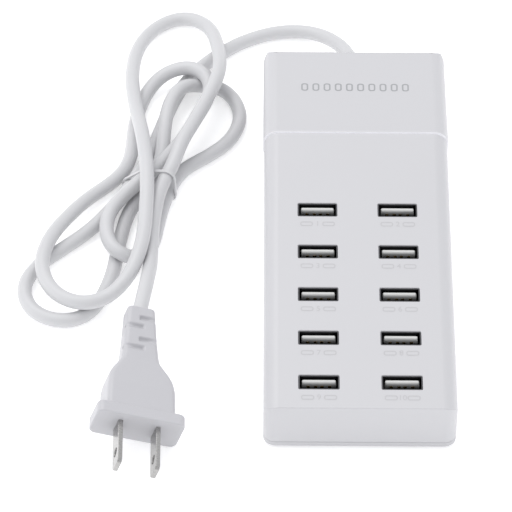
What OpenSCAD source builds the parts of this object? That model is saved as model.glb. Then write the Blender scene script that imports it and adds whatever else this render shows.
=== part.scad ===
// Ten port USB desktop charger with its mains cord and flat pin plug.
// The origin is on the table under the middle of the housing.
// X runs across the housing, Y runs to the cord end, and Z is up.

/* [Housing] */
// Length of the housing from its front wall to its rear wall
body_l = 162; // [160:1:177]
// Width of the housing at the port panel
body_w = 63; // [62:0.5:72]
// Slope of the port panel down to the front, in degrees
panel_slope = 4.5; // [4:0.1:4.8]
// Length of the head, from the brow to the rear wall
head_l = 44; // [42:0.5:46]
// How far the head stands above the port panel
head_rise = 0.6; // [0.3:0.1:1]
// How far the head stands out beyond each side of the port panel
head_side = 0.4; // [0.2:0.1:0.8]
// How far down the sides the head stands out
head_skirt = 10; // [8:0.5:14]
// Fall of the head to the rear, in degrees
head_fall = 1.2; // [0:0.1:2]
// Radius of the long top edges
edge_r = 5; // [4.6:0.1:5.4]
// Radius of the rear top edge
rear_r = 6; // [5.6:0.2:8]
// Radius of the upright corners
corner_r = 4; // [3.6:0.1:4.4]
// Thickness of the moulded walls
wall = 2; // [1.6:0.1:2.2]
// Thickness of the base plate
base_t = 2; // [1.8:0.1:2.4]

/* [Ports] */
// Distance between the two columns of ports
column_pitch = 27; // [26.5:0.1:28]
// Distance between rows of ports, along the panel
row_pitch = 18.3; // [18:0.1:18.6]
// Distance from the brow to the first row, along the panel
first_row = 34.5; // [33:0.5:35.5]
// Width inside the metal shell of a port
socket_w = 12.5; // [12.4:0.1:12.8]
// Height inside the metal shell of a port
socket_h = 5; // [4.9:0.05:5.2]
// Thickness of the metal shell
shell_t = 0.3; // [0.25:0.01:0.35]
// Height of a port above its board
shell_l = 14.1; // [13.2:0.1:14.2]
// Depth of a port's mouth below the panel
mouth_depth = 0.3; // [0.2:0.1:1]
// Gap between the shell and the moulded opening
mouth_gap = 0.1; // [0.05:0.01:0.15]
// Width of the tongue
tongue_w = 11.1; // [10.8:0.1:11.3]
// Thickness of the tongue
tongue_t = 1.84; // [1.7:0.02:2]
// Gap between the tongue and the rear of the shell
tongue_gap = 0.75; // [0.6:0.05:0.9]
// Depth of the tongue's tip below the mouth
tongue_depth = 0.6; // [0.4:0.1:1.4]
// Width of a contact
contact_w = 1; // [0.8:0.05:1.1]

/* [Boards] */
// Thickness of both circuit boards
board_t = 1.6; // [1.2:0.1:1.6]
// Gap between each board and the side walls
board_side_gap = 2.5; // [2:0.1:3]
// Room above the base plate under the ports' tails
tail_gap = 0.4; // [0.3:0.1:2]
// Height of the power board above the base plate
standoff_h = 3.4; // [3:0.1:3.6]

/* [Fixings] */
// Diameter of the case screws
screw_d = 2.9; // [2.5:0.1:3]
// Length of a case screw under its head
screw_l = 8; // [6:0.5:9]
// Diameter of a rubber foot
foot_d = 11; // [9:0.5:12]
// How far a foot stands below the base plate
foot_h = 1.2; // [1:0.1:1.5]

/* [Cord] */
// Diameter of the mains cord
cord_d = 5; // [4.8:0.1:5.2]
// Height of the cord gland above the table
gland_h = 12; // [11:0.5:13]
// Place of the cord gland across the rear wall
gland_x = 1; // [0.5:0.1:1.5]
// Diameter of the sleeve where it leaves the housing
sleeve_d = 7.4; // [7.2:0.1:8]
// Number of ribs on the bent part of the sleeve
sleeve_ribs = 3; // [2:1:5]
// Radius of the sleeve's bend
sleeve_bend_r = 20; // [19:0.5:21]

/* [Plug] */
// Length of the plug's ribbed sleeve
plug_sleeve_l = 22; // [21:0.2:24]
// Width of the plug's ribbed sleeve at the cord
plug_sleeve_w = 9.4; // [9:0.1:10.4]
// Length of the plug body, with its flange
plug_body_l = 26; // [24:0.5:28]
// Width of the plug body
plug_w = 23; // [22:0.2:25]
// Height of the plug body
plug_h = 12; // [11:0.2:12.6]
// Width of the flange at the blades
flange_w = 29.6; // [28:0.1:30]
// Height of the flange at the blades
flange_h = 13; // [12.8:0.1:13.2]
// Distance between the blades
blade_pitch = 12.7; // [12.5:0.1:12.9]
// Length of a blade outside the plug
blade_l = 16.6; // [15.9:0.1:18.3]
// Width of a blade
blade_w = 6.35; // [6.2:0.05:6.5]
// Thickness of a blade
blade_t = 1.5; // [1.4:0.02:1.65]

/* [Hidden] */
$fn = 48;
SKIN = 0.01;
FAR = 200;

// Housing
base_z = foot_h;
floor_z = base_z + base_t;
front_y = -body_l / 2;
rear_y = body_l / 2;
brow_y = rear_y - head_l;
panel_l = body_l - head_l;
head_w = body_w + 2 * head_side;
head_overlap = 2 * wall;
lip_gap = 0.15;
lip_t = 1.2;
lip_h = 2.4;

// Ports, in as many rows as the panel holds
front_margin = 8;
port_rows = floor((panel_l - first_row - front_margin) / row_pitch) + 1;
last_row = first_row + (port_rows - 1) * row_pitch;
port_count = 2 * port_rows;
shell_w = socket_w + 2 * shell_t;
shell_h = socket_h + 2 * shell_t;
mouth_r = 0.5;
board_drop = mouth_depth + shell_l;
insert_gap = 0.1;
insert_w = socket_w - 2 * insert_gap;
insert_h = socket_h - 2 * insert_gap;
insert_l = 3.4;
tongue_top = mouth_depth + tongue_depth;
tongue_y = socket_h / 2 - tongue_gap - tongue_t / 2;
tongue_front_y = tongue_y - tongue_t / 2;
contact_x = [-3.5, -1, 1, 3.5];
contact_t = 0.35;
groove_depth = 0.25;
groove_gap = 0.05;
contact_top = tongue_top + 1.2;
tail_w = 0.7;
tail_l = board_t + 1.2;
tab_w = 1.6;
tab_y = 1.2;

// Height of the panel at the brow, from what stands under the front row of ports
brow_h = floor_z + tail_gap + (board_drop + tail_l) * cos(panel_slope) + last_row * sin(panel_slope);
head_z = brow_h + head_rise;

// Port board
port_board_w = body_w - 2 * wall - 2 * board_side_gap;
board_before_row = 13;
board_past_row = 5.6;
port_board_rear = first_row - board_before_row;
port_board_front = last_row + board_past_row;
port_board_top = -board_drop;
board_hole_gap = 0.3;
controller_w = 4;
controller_l = 5;
controller_t = 1.5;
controller_x = 4.2;
controller_from_row = 9.2;

// Power board
board_end_gap = 1.6;
gland_room = 9.8;
power_board_w = port_board_w;
power_board_rear = rear_y - wall - gland_room;
power_board_l = power_board_rear - brow_y + port_board_rear * cos(panel_slope) - board_end_gap;
power_board_z = floor_z + standoff_h;
power_top = power_board_z + board_t;
power_mid_y = power_board_rear - power_board_l / 2;
post_d = 5;
pin_d = 2.2;
pin_gap = 0.1;
power_post_x = power_board_w / 2 - 4;
power_post_y = power_board_l / 2 - 3.6;
port_post_x = port_board_w / 2 - 3.4;

// Power parts, as high as the room under the panel's low end over their board
top_gap = 0.3;
head_room = brow_h - wall - port_board_rear * sin(panel_slope) - power_top - top_gap;
part_gap = 1;
fuse_l = 10;
fuse_d = 4.4;
fuse_cap_d = 5.2;
fuse_cap_l = 2.6;
bridge_w = 11;
bridge_t = 4;
bridge_h = 11;
film_w = 13;
film_t = 6;
film_h = 11;
disc_d = 8.4;
disc_t = 3;
disc_from_rear = 18;
choke_r = 4.4;
choke_wall = 3.6;
choke_t = 5;
input_can_d = 10;
output_can_d = 8;
output_can_x = -8.4;
output_can_from_front = 12.6;
second_can_from_front = 5.5;
can_edge_gap = 1.5;
can_top_gap = 3;
core_w = 25;
core_t = 10;
core_x = 6;
core_leg = 3.1;
core_middle = 7.6;
core_window_z = 4;
coil_l = 19;
coil_gap = 0.1;
bobbin_t = 1.2;
sink_t = 1.6;
switch_sink_l = 14;
output_sink_w = 12;
package_w = 10;
package_t = 4.4;
package_top = 12;
diode_from_front = 2.9;
choke_from_rear = 13.5;
core_y = (diode_from_front + package_t + sink_t - choke_from_rear - choke_t / 2) / 2;
core_yoke = 2.6;
lead_bend_r = 2;
window_h = head_room - core_window_z - core_yoke;

// Case screws
boss_d = 6.6;
pilot_gap = 0.05;
screw_clear = 0.2;
screw_head_d = 5.4;
screw_head_h = 1.5;
head_sink = 0.2;
boss_z = floor_z + 1.4;
boss_board_gap = 0.7;
rear_boss_x = body_w / 2 + head_side - wall - boss_d / 2 + 0.5;
rear_boss_y = rear_y - wall - boss_d / 2 + 0.5;
foot_from_side = 9.5;
foot_from_end = 19;
foot_x = body_w / 2 - foot_from_side;
foot_y = body_l / 2 - foot_from_end;
foot_sink = 1;

// Gland and sleeve
collar_d = sleeve_d + 3.6;
collar_t = 1.6;
gland_gap = 0.1;
sleeve_straight = 8;
sleeve_turn = 20;
sleeve_sag = 11;
sleeve_tip_d = cord_d + 0.9;
sleeve_core_d = cord_d + 0.4;
gland_slot_w = sleeve_d + 2 * gland_gap;

// Cord
cord_sides = 10;
tie_t = 0.5;
tie_w = 1.2;
tie_gap = 0.15;
tie_place = [-71, 35];
tie_turn = -18;
tied_strands = [[-7.4, 3.3], [6.4, 3.5], [6, 11], [-2, 8.6]];

// Plug, lying with its nose slightly down
plug_place = [-72.9, -34.3, 14];
plug_pitch = 4.4;
plug_roll = 18;
plug_yaw = 2;
flange_l = 4.4;
plug_neck_w = 13.4;
plug_bevel = 2.6;
plug_sleeve_h = 7.4;
slot_w = 1.5;
slot_depth = 1.1;
first_slot = 4.7;
slot_step = 3.6;
slot_pair_pitch = 9;
slot_past_middle = 0.6;
blade_hole_d = 3.2;
blade_hole_from_tip = 5.6;
blade_root = 6;
blade_tip = 0.8;

// Where the sleeve ends, and the way the cord leaves it
function tip_x() = -sleeve_bend_r * (1 - cos(sleeve_turn));
function tip_y() = sleeve_straight + sleeve_bend_r * sin(sleeve_turn);
function outside(p) = [
    gland_x + p[0],
    rear_y + p[1] * cos(sleeve_sag) + p[2] * sin(sleeve_sag),
    gland_h - p[1] * sin(sleeve_sag) + p[2] * cos(sleeve_sag)
];
sleeve_tip = outside([tip_x(), tip_y(), 0]);

// Points chosen by hand along the cord, from the sleeve to the plug
cord_points = [
    sleeve_tip,
    [-1.6, 100.5, 8.1], [-4.8, 107.5, 6.2], [-10, 113.5, 4.5], [-15.5, 117, 3.2],
    [-21.5, 118, 2.7], [-29, 117, 2.5], [-35, 114.5, 2.5], [-40.5, 111.5, 2.5],
    [-46, 107, 2.5], [-54, 99, 2.5], [-61, 88, 2.5], [-66, 74, 2.5], [-70.5, 57, 2.6],
    [-75.5, 42, 3.5], [-83, 28, 2.8], [-92, 15, 2.5], [-101, 6, 2.5], [-109, -2, 2.5],
    [-113, -12, 2.5], [-110, -22, 2.5], [-102, -27, 2.5], [-93, -26, 2.5],
    [-87, -18, 2.5], [-83, -5, 2.5], [-81, 11, 2.5], [-78, 25, 2.8], [-71, 38, 3.5],
    [-67.5, 49.5, 4.8], [-67, 56.5, 6.4], [-66.5, 65.5, 7.6], [-65, 74.5, 7.8],
    [-62.5, 80.5, 7.8], [-59.5, 84.5, 7], [-55, 86.8, 4.1], [-50.5, 88.5, 2.9],
    [-46, 86.5, 2.5], [-42.5, 82, 2.5], [-40, 72, 2.5], [-44, 60, 2.5],
    [-52.5, 51.5, 2.5], [-60, 45, 2.9], [-65, 33, 3.5], [-68, 20, 2.5], [-69, 12, 2.5],
    [-71, 5, 2.9], [-76.5, -1, 5.8], [-82.5, 1, 7.8], [-85.5, 8.5, 7.8], [-84.5, 20, 7.6],
    [-78, 30, 8], [-69, 40, 9], [-64, 48, 8.6], [-61, 53.5, 8.3], [-55.5, 66.5, 8],
    [-51, 79, 8.1], [-51.3, 85.5, 8.5], [-54, 89.5, 9], [-58.5, 92.5, 8.2],
    [-64, 92, 7.4], [-69.5, 90, 5], [-73.5, 85, 2.8], [-76, 77, 2.5], [-77.5, 68.5, 2.5],
    [-78, 60, 2.5], [-78.5, 52, 2.5], [-81, 44, 2.5], [-86, 37.5, 2.6], [-93, 29.5, 3.6],
    [-99.5, 18.5, 5.6], [-105, 6, 7.6], [-107, -7, 7.6], [-102, -19, 7.6],
    [-93, -24, 7.7], [-84, -21, 7.7], [-77, -13, 10.2], [-73, 0, 12.4], [-72, 15, 13.2],
    [-72, 31, 14.9], [-74, 50, 14.3], [-77, 69, 10], [-79, 88, 7.6], [-77, 107, 4.6],
    [-70.5, 120, 2.6], [-61, 125, 2.6], [-52.5, 118, 5], [-48.5, 103, 8.6], [-48, 84, 13],
    [-55.5, 61, 13.2], [-60.5, 48, 13.6], [-63, 39.5, 12], [-67.5, 28, 10.4],
    [-69.5, 15, 8.6], [-70, 3, 8.1], [-70, -6, 8.3], [-71, -19, 12.2], plug_place
];

usb_shells = [for (i = [1 : port_count]) str("usb_shell_", i)];
usb_tongues = [for (i = [1 : port_count]) str("usb_tongue_", i)];
usb_contacts = [for (i = [1 : port_count]) str("usb_contacts_", i)];

// Flat outlines

module round_rect(w, l, r) {
    square([w, l - 2 * r], center = true);
    square([w - 2 * r, l], center = true);
    for (x = [-1, 1], y = [-1, 1])
        translate([x * (w / 2 - r), y * (l / 2 - r)]) circle(r);
}

// Section of a long block, with its flat top at height 0 and round top edges
module crown_section(w, r) {
    translate([-w / 2, -FAR / 2]) square([w, FAR / 2 - r]);
    translate([-w / 2 + r, -FAR / 2]) square([w - 2 * r, FAR / 2]);
    for (x = [-1, 1])
        translate([x * (w / 2 - r), -r]) circle(r);
}

// Outline of the head from the side, with y to the right and a round rear edge
module head_section(inset) {
    r = rear_r - inset;
    top = head_z - inset;
    rear = rear_y - inset;
    translate([brow_y, 0]) square([rear - brow_y - r, top]);
    translate([brow_y, 0]) square([rear - brow_y, top - r]);
    translate([rear - r, top - r]) circle(r);
}

// Housing form

module crown(w, r, l) {
    rotate([90, 0, 0]) linear_extrude(l) crown_section(w, r);
}

module plan_block(w, inset) {
    linear_extrude(FAR / 2)
        round_rect(w - 2 * inset, body_l - 2 * inset, corner_r - inset);
}

module on_panel() {
    translate([0, brow_y, brow_h]) rotate([panel_slope, 0, 0]) children();
}

module panel_form(inset) {
    intersection() {
        plan_block(body_w, inset);
        on_panel() translate([0, head_overlap, -inset])
            crown(body_w - 2 * inset, edge_r - inset, body_l);
    }
}

module head_form(inset) {
    intersection() {
        union() {
            plan_block(body_w, inset);
            intersection() {
                plan_block(head_w, inset);
                above(head_z - head_skirt + inset);
            }
        }
        translate([0, brow_y, head_z - inset]) rotate([-head_fall, 0, 0])
            translate([0, body_l, 0]) crown(head_w - 2 * inset, edge_r - inset, body_l + FAR);
        rotate([90, 0, 90]) translate([0, 0, -FAR / 2]) linear_extrude(FAR) head_section(inset);
        translate([-FAR / 2, brow_y + inset, 0]) cube(FAR);
    }
}

module housing_form(inset) {
    panel_form(inset);
    head_form(inset);
}

module above(z) {
    translate([-FAR / 2, -FAR / 2, z]) cube(FAR);
}

module below(z) {
    translate([-FAR / 2, -FAR / 2, z - FAR]) cube(FAR);
}

// Places

function port_side(i) = (i % 2 == 1) ? -1 : 1;
function port_row(i) = floor((i - 1) / 2);
function port_y(i) = -first_row - port_row(i) * row_pitch;
function between_rows(n) = -first_row - (n - 0.5) * row_pitch;

module at_port(i) {
    on_panel() translate([port_side(i) * column_pitch / 2, port_y(i), 0]) children();
}

function panel_y(along) = brow_y + along * cos(panel_slope);

front_boss_y = [
    panel_y(between_rows(1)),
    panel_y(between_rows(port_rows - 1))
];

module at_screws() {
    for (y = front_boss_y) translate([0, y, 0]) children();
    for (x = [-1, 1]) translate([x * rear_boss_x, rear_boss_y, 0]) children();
}

// Moulded case

module bosses() {
    intersection() {
        at_screws() translate([0, 0, boss_z]) cylinder(d = boss_d, h = FAR / 2);
        housing_form(wall - 0.2);
    }
}

module pilot_holes() {
    top = base_z + head_sink + screw_head_h + screw_l + 1;
    at_screws() translate([0, 0, boss_z - 1])
        cylinder(d = screw_d + 2 * pilot_gap, h = top - boss_z + 1);
}

module gland_slot(w) {
    translate([gland_x, rear_y - wall - 1, 0]) {
        translate([0, 0, gland_h]) rotate([-90, 0, 0]) cylinder(d = w, h = wall + 2);
        translate([-w / 2, 0, 0]) cube([w, wall + 2, gland_h]);
    }
}

module port_opening() {
    translate([0, 0, -wall - 1]) linear_extrude(wall + 2)
        round_rect(shell_w + 2 * mouth_gap, shell_h + 2 * mouth_gap, mouth_r);
}

module top_shell() {
    color("gainsboro") difference() {
        union() {
            difference() {
                intersection() {
                    housing_form(0);
                    above(floor_z);
                }
                housing_form(wall);
            }
            bosses();
        }
        pilot_holes();
        gland_slot(gland_slot_w);
        for (i = [1 : port_count]) at_port(i) port_opening();
    }
}

module lip_ring(w) {
    inset = wall + lip_gap;
    linear_extrude(lip_h) difference() {
        round_rect(w - 2 * inset, body_l - 2 * inset, corner_r - inset);
        round_rect(w - 2 * (inset + lip_t), body_l - 2 * (inset + lip_t), corner_r - inset - lip_t);
    }
}

module power_posts(d, h) {
    for (x = [-1, 1], y = [-1, 1])
        translate([x * power_post_x, power_mid_y + y * power_post_y, 0]) cylinder(d = d, h = h);
}

module port_posts() {
    rows = [for (n = [1 : port_rows - 1]) panel_y(between_rows(n))];
    intersection() {
        for (x = [-1, 1], y = rows)
            translate([x * port_post_x, y, floor_z - SKIN]) cylinder(d = post_d, h = FAR / 2);
        on_panel() translate([-FAR / 2, -FAR, -FAR - board_drop - board_t]) cube([FAR, FAR * 1.2, FAR]);
    }
}

module foot_places() {
    for (x = [-1, 1], y = [-1, 1])
        translate([x * foot_x, y * foot_y, 0]) children();
}

module gland_tab() {
    w = gland_slot_w - 2 * lip_gap;
    difference() {
        translate([gland_x - w / 2, rear_y - wall, floor_z - SKIN])
            cube([w, wall - lip_gap, gland_h - floor_z]);
        translate([gland_x, rear_y - wall - 1, gland_h]) rotate([-90, 0, 0])
            cylinder(d = gland_slot_w, h = wall + 2);
    }
}

module base_plate() {
    color("whitesmoke") difference() {
        union() {
            intersection() {
                housing_form(0);
                above(base_z);
                below(floor_z);
            }
            difference() {
                translate([0, 0, floor_z - SKIN]) lip_ring(body_w);
                at_screws() cylinder(d = boss_d + 2 * lip_gap, h = FAR);
            }
            intersection() {
                at_screws() translate([0, 0, floor_z - SKIN]) cylinder(d = boss_d, h = boss_z - floor_z + SKIN);
                housing_form(wall + lip_gap);
            }
            translate([0, 0, floor_z - SKIN]) power_posts(post_d, standoff_h + SKIN);
            translate([0, 0, floor_z]) power_posts(pin_d, standoff_h + board_t);
            port_posts();
            gland_tab();
        }
        at_screws() translate([0, 0, base_z - 1]) {
            cylinder(d = screw_d + 2 * screw_clear, h = FAR);
            cylinder(d = screw_head_d + 2 * screw_clear, h = head_sink + screw_head_h + 1);
        }
        foot_places() translate([0, 0, base_z - 1]) cylinder(d = foot_d + 0.2, h = foot_sink + 1);
    }
}

module rubber_feet() {
    color("dimgray") foot_places() rotate_extrude() {
        square([foot_d / 2, base_z + foot_sink - 0.4]);
        square([foot_d / 2 - 0.5, base_z + foot_sink]);
    }
}

module case_screws() {
    color("silver") at_screws() translate([0, 0, base_z + head_sink]) difference() {
        union() {
            cylinder(d = screw_head_d, h = screw_head_h);
            cylinder(d = screw_d, h = screw_head_h + screw_l);
        }
        for (a = [0, 90]) rotate(a) translate([-1.4, -0.3, -1]) cube([2.8, 0.6, 1.9]);
    }
}

// Boards

module port_board() {
    color("seagreen") difference() {
        on_panel() translate([-port_board_w / 2, -port_board_front, port_board_top - board_t])
            cube([port_board_w, port_board_front - port_board_rear, board_t]);
        for (y = front_boss_y) translate([0, y, 0])
            cylinder(d = boss_d + 2 * boss_board_gap, h = FAR);
        for (i = [1 : port_count]) at_port(i) translate([0, 0, port_board_top - board_t - 1]) {
            for (x = [-1, 1]) translate([x * (shell_w - shell_t) / 2, tab_y, (board_t + 2) / 2])
                cube([shell_t + 2 * board_hole_gap, tab_w + 2 * board_hole_gap, board_t + 2], center = true);
            translate([0, tongue_front_y, (board_t + 2) / 2])
                cube([7 + tail_w + 2 * board_hole_gap, contact_t + 2 * board_hole_gap, board_t + 2], center = true);
        }
    }
}

module power_board() {
    color("darkgreen") difference() {
        translate([-power_board_w / 2, power_board_rear - power_board_l, power_board_z])
            cube([power_board_w, power_board_l, board_t]);
        translate([0, 0, power_board_z - 1]) power_posts(pin_d + 2 * pin_gap, board_t + 2);
    }
}

module charge_controllers() {
    color("black") for (n = [1 : port_rows - 1]) on_panel()
        translate([0, 0, port_board_top]) for (x = [-1, 1])
            translate([x * controller_x - 0.1, between_rows(n) + controller_from_row, controller_t / 2 + 0.3])
                if (n > 1) cube([controller_w, controller_l, controller_t], center = true);
}

// Ports

module usb_shell() {
    z0 = -board_drop;
    color("lightsteelblue") difference() {
        union() {
            translate([0, 0, z0]) linear_extrude(shell_l) difference() {
                round_rect(shell_w, shell_h, mouth_r);
                round_rect(socket_w, socket_h, mouth_r - shell_t);
            }
            for (x = [-1, 1]) translate([x * (shell_w - shell_t) / 2, tab_y, z0 - tail_l / 2 + SKIN])
                cube([shell_t, tab_w, tail_l], center = true);
        }
        for (x = [-1, 1]) translate([x * 3.2, 0, z0 + 7.5]) {
            cube([2.6, FAR, 0.5], center = true);
            for (e = [-1, 1]) translate([e * 1.1, 0, 1.7]) cube([0.4, FAR, 3.4], center = true);
        }
    }
}

module usb_tongue() {
    z0 = -board_drop;
    color("white") difference() {
        union() {
            translate([-insert_w / 2, -insert_h / 2, z0]) cube([insert_w, insert_h, insert_l]);
            translate([0, tongue_y, z0]) linear_extrude(board_drop - tongue_top)
                square([tongue_w, tongue_t], center = true);
        }
        for (x = contact_x) translate([x, tongue_front_y, z0 - 1]) {
            translate([-contact_w / 2 - groove_gap, groove_depth - 2 * contact_t, 0])
                cube([contact_w + 2 * groove_gap, 2 * contact_t, board_drop - contact_top + 1 + groove_gap]);
        }
    }
}

module usb_contacts() {
    z0 = -board_drop;
    color("goldenrod") for (x = contact_x) translate([x, tongue_front_y + groove_depth, 0]) {
        translate([-contact_w / 2, -contact_t, z0]) cube([contact_w, contact_t, board_drop - contact_top]);
        translate([-tail_w / 2, -contact_t, z0 - tail_l]) cube([tail_w, contact_t, tail_l + SKIN]);
        translate([0, -contact_t, -contact_top - 2.2]) rotate([0, 90, 0])
            cylinder(d = 0.6, h = contact_w, center = true);
    }
}

// Power parts

module on_power_board(x, y) {
    translate([x, power_mid_y + y, power_top]) children();
}

function from_left(d) = d - power_board_w / 2;
function from_right(d) = power_board_w / 2 - d;
function from_rear(d) = power_board_l / 2 - d;
function from_front(d) = d - power_board_l / 2;

module fuse() {
    on_power_board(from_left(fuse_l / 2 + 3), from_rear(fuse_cap_d / 2 + part_gap)) {
        color("lightcyan") translate([0, 0, 3]) rotate([0, 90, 0]) {
            cylinder(d = fuse_d, h = fuse_l - 0.6, center = true);
            for (x = [-1, 1]) translate([0, 0, x * (fuse_l - fuse_cap_l) / 2])
                cylinder(d = fuse_cap_d, h = fuse_cap_l, center = true);
        }
        color("silver") for (x = [-1, 1])
            translate([x * (fuse_l - fuse_cap_l) / 2, 0, 0.3]) cylinder(d = 1, h = 0.6, center = true);
    }
}

module bridge_rectifier() {
    color("black") on_power_board(-3, from_rear(bridge_w / 2 + 4.5))
        translate([-bridge_t / 2, -bridge_w / 2, 0]) cube([bridge_t, bridge_w, bridge_h]);
}

module safety_capacitors() {
    color("gold") on_power_board(from_right(film_w / 2 + 1.5), from_rear(film_t / 2 + 2.5))
        translate([-film_w / 2, -film_t / 2, 0]) cube([film_w, film_t, film_h]);
    color("dodgerblue") on_power_board(-8.2, from_rear(disc_from_rear)) translate([0, 0, disc_d / 2])
        rotate([0, 90, 0]) cylinder(d = disc_d, h = disc_t, center = true);
}

module input_choke() {
    on_power_board(from_right(choke_r + choke_wall / 2 + 1.8), from_rear(choke_from_rear)) {
        color("peru") translate([0, 0, choke_r + choke_wall / 2 + 0.4]) rotate([90, 0, 0])
            rotate_extrude() translate([choke_r, 0]) round_rect(choke_wall, choke_t, 1);
        color("dimgray") translate([-choke_r, -choke_t / 2, 0]) cube([2 * choke_r, choke_t, bobbin_t]);
    }
}

module can(d, h) {
    rotate_extrude() {
        square([d / 2, h * 0.84]);
        square([d / 2 - 0.4, h * 0.9]);
        translate([0, h * 0.88]) square([d / 2, h * 0.12 - 0.4]);
        square([d / 2 - 0.6, h]);
    }
}

module input_capacitors() {
    color("midnightblue") for (n = [0, 1])
        on_power_board(from_left(input_can_d / 2 + part_gap), from_rear(12 + n * (input_can_d + part_gap)))
            can(input_can_d, head_room);
}

module transformer_core() {
    window_w = (core_w - core_middle) / 2 - core_leg;
    color("darkslategray") on_power_board(core_x, core_y) difference() {
        translate([-core_w / 2, -core_t / 2, bobbin_t]) cube([core_w, core_t, head_room - bobbin_t]);
        for (x = [-1, 1]) translate([x * (core_middle + window_w) / 2, 0, core_window_z + window_h / 2])
            cube([window_w, core_t + 2, window_h], center = true);
    }
}

module transformer_coil() {
    coil_w = core_w - 2 * core_leg - 2 * coil_gap;
    color("khaki") on_power_board(core_x, core_y) {
        difference() {
            translate([0, 0, core_window_z + coil_gap])
                linear_extrude(window_h - 2 * coil_gap) round_rect(coil_w, coil_l, 3);
            translate([0, 0, core_window_z + window_h / 2])
                cube([core_middle + 2 * coil_gap, core_t + 2 * coil_gap, window_h + 2], center = true);
        }
        for (y = [-1, 1]) translate([0, y * (coil_l + core_t + 2) / 4, core_window_z / 2 + coil_gap / 2])
            cube([coil_w - 4, (coil_l - core_t - 2) / 2, core_window_z + coil_gap], center = true);
        translate([0, 0, bobbin_t / 2]) cube([coil_w, coil_l, bobbin_t], center = true);
    }
}

module to_package() {
    translate([-package_w / 2, 0, 3]) cube([package_w, package_t, package_top - 3]);
    translate([-package_w / 2, package_t - 1.3, package_top - SKIN])
        cube([package_w, 1.3, head_room - package_top - top_gap]);
    for (x = [-1, 0, 1]) translate([x * 2.54 - 0.4, 1.8, 0]) cube([0.8, 0.5, 3 + SKIN]);
}

module switch_heat_sink() {
    color("silver") on_power_board(from_left(part_gap), from_front(part_gap))
        cube([sink_t, switch_sink_l, head_room]);
}

module switch_transistor() {
    color("black")
        on_power_board(from_left(part_gap + sink_t + package_t), from_front(part_gap + switch_sink_l / 2))
            rotate(90) to_package();
}

module output_heat_sink() {
    color("silver") on_power_board(-0.4, from_front(diode_from_front + package_t))
        cube([output_sink_w, sink_t, head_room]);
}

module output_diode() {
    color("black") on_power_board(output_sink_w / 2 - 0.4, from_front(diode_from_front)) to_package();
}

module output_capacitors() {
    places = [
        [output_can_x, from_front(output_can_from_front)],
        [from_right(output_can_d / 2 + can_edge_gap), from_front(second_can_from_front)]
    ];
    color("darkgreen") for (p = places) on_power_board(p[0], p[1]) can(output_can_d, head_room - can_top_gap);
}

module optocoupler() {
    on_power_board(-9.6, from_front(4)) {
        color("white") translate([-3.3, -2.3, 0.6]) cube([6.6, 4.6, 3.6]);
        color("silver") for (x = [-1, 1], y = [-1, 1])
            translate([x * 1.3 - 0.3, y * 2.3 - 0.3, 0]) cube([0.6, 0.6, 0.6 + SKIN]);
    }
}

module elbow(y, z, from, d) {
    translate([0, y, z]) rotate([90, 0, 90]) rotate([0, 0, from])
        rotate_extrude(angle = 90) translate([lead_bend_r, 0]) circle(d = d);
}

// A lead that runs level to the front, then down, with places given as y and z
module falling_lead(start, end, d) {
    r = lead_bend_r;
    translate([0, start[0], start[1]]) rotate([90, 0, 0]) cylinder(d = d, h = start[0] - end[0] - r);
    elbow(end[0] + r, start[1] - r, 90, d);
    translate([0, end[0], end[1]]) cylinder(d = d, h = start[1] - r - end[1]);
}

module mains_leads() {
    for (x = [-1, 1]) color(x < 0 ? "saddlebrown" : "royalblue") translate([gland_x + x * 1.3, 0, 0])
        falling_lead([rear_y - wall - collar_t, gland_h], [power_board_rear - 1.6, power_top], 2);
}

module output_leads() {
    d = 1.8;
    start_y = power_mid_y + from_front(2.4);
    end_y = start_y - 3 * lead_bend_r;
    board_z = brow_h + (end_y - brow_y) * tan(panel_slope) - board_drop / cos(panel_slope);
    top = ceil(board_z + 2.5);
    for (x = [-4.8, -1.6]) color(x < -3 ? "black" : "firebrick") translate([x, 0, 0]) union() {
        translate([0, start_y, power_top]) cylinder(d = d, h = top - lead_bend_r - power_top);
        elbow(start_y - lead_bend_r, top - lead_bend_r, 0, d);
        falling_lead([start_y - lead_bend_r, top], [end_y, board_z + 0.1], d);
    }
}

// Cord

function unit(v) = v / norm(v);
function cross_of(a, b) = [
    a[1] * b[2] - a[2] * b[1],
    a[2] * b[0] - a[0] * b[2],
    a[0] * b[1] - a[1] * b[0]
];

// The way of the cord at each point, exact at its two ends
sleeve_way = unit([
    -sin(sleeve_turn),
    cos(sleeve_turn) * cos(sleeve_sag),
    -cos(sleeve_turn) * sin(sleeve_sag)
]);
plug_side_way = -sin(plug_pitch) * sin(plug_roll);
plug_way = [
    plug_side_way * cos(plug_yaw) + cos(plug_pitch) * sin(plug_yaw),
    plug_side_way * sin(plug_yaw) - cos(plug_pitch) * cos(plug_yaw),
    -sin(plug_pitch) * cos(plug_roll)
];
function way_at(i) =
    i == 0 ? sleeve_way :
    i == len(cord_points) - 1 ? plug_way :
    unit(cord_points[i + 1] - cord_points[i - 1]);
function side_at(i) = unit(cross_of(way_at(i), [0, 0, 1]));
function rise_at(i) = cross_of(side_at(i), way_at(i));

module cord() {
    last = len(cord_points) - 1;
    ring = [for (k = [0 : cord_sides - 1]) 360 * (k + 0.5) / cord_sides];
    points = [
        for (i = [0 : last], a = ring)
            cord_points[i] + cord_d / 2 * (cos(a) * side_at(i) + sin(a) * rise_at(i))
    ];
    walls = [
        for (i = [0 : last - 1], k = [0 : cord_sides - 1])
            let (m = (k + 1) % cord_sides)
            [
                i * cord_sides + k, i * cord_sides + m,
                (i + 1) * cord_sides + m, (i + 1) * cord_sides + k
            ]
    ];
    first_end = [for (k = [cord_sides - 1 : -1 : 0]) k];
    last_end = [for (k = [0 : cord_sides - 1]) last * cord_sides + k];
    color("whitesmoke") polyhedron(points, concat([first_end], walls, [last_end]), convexity = 12);
}

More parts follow.
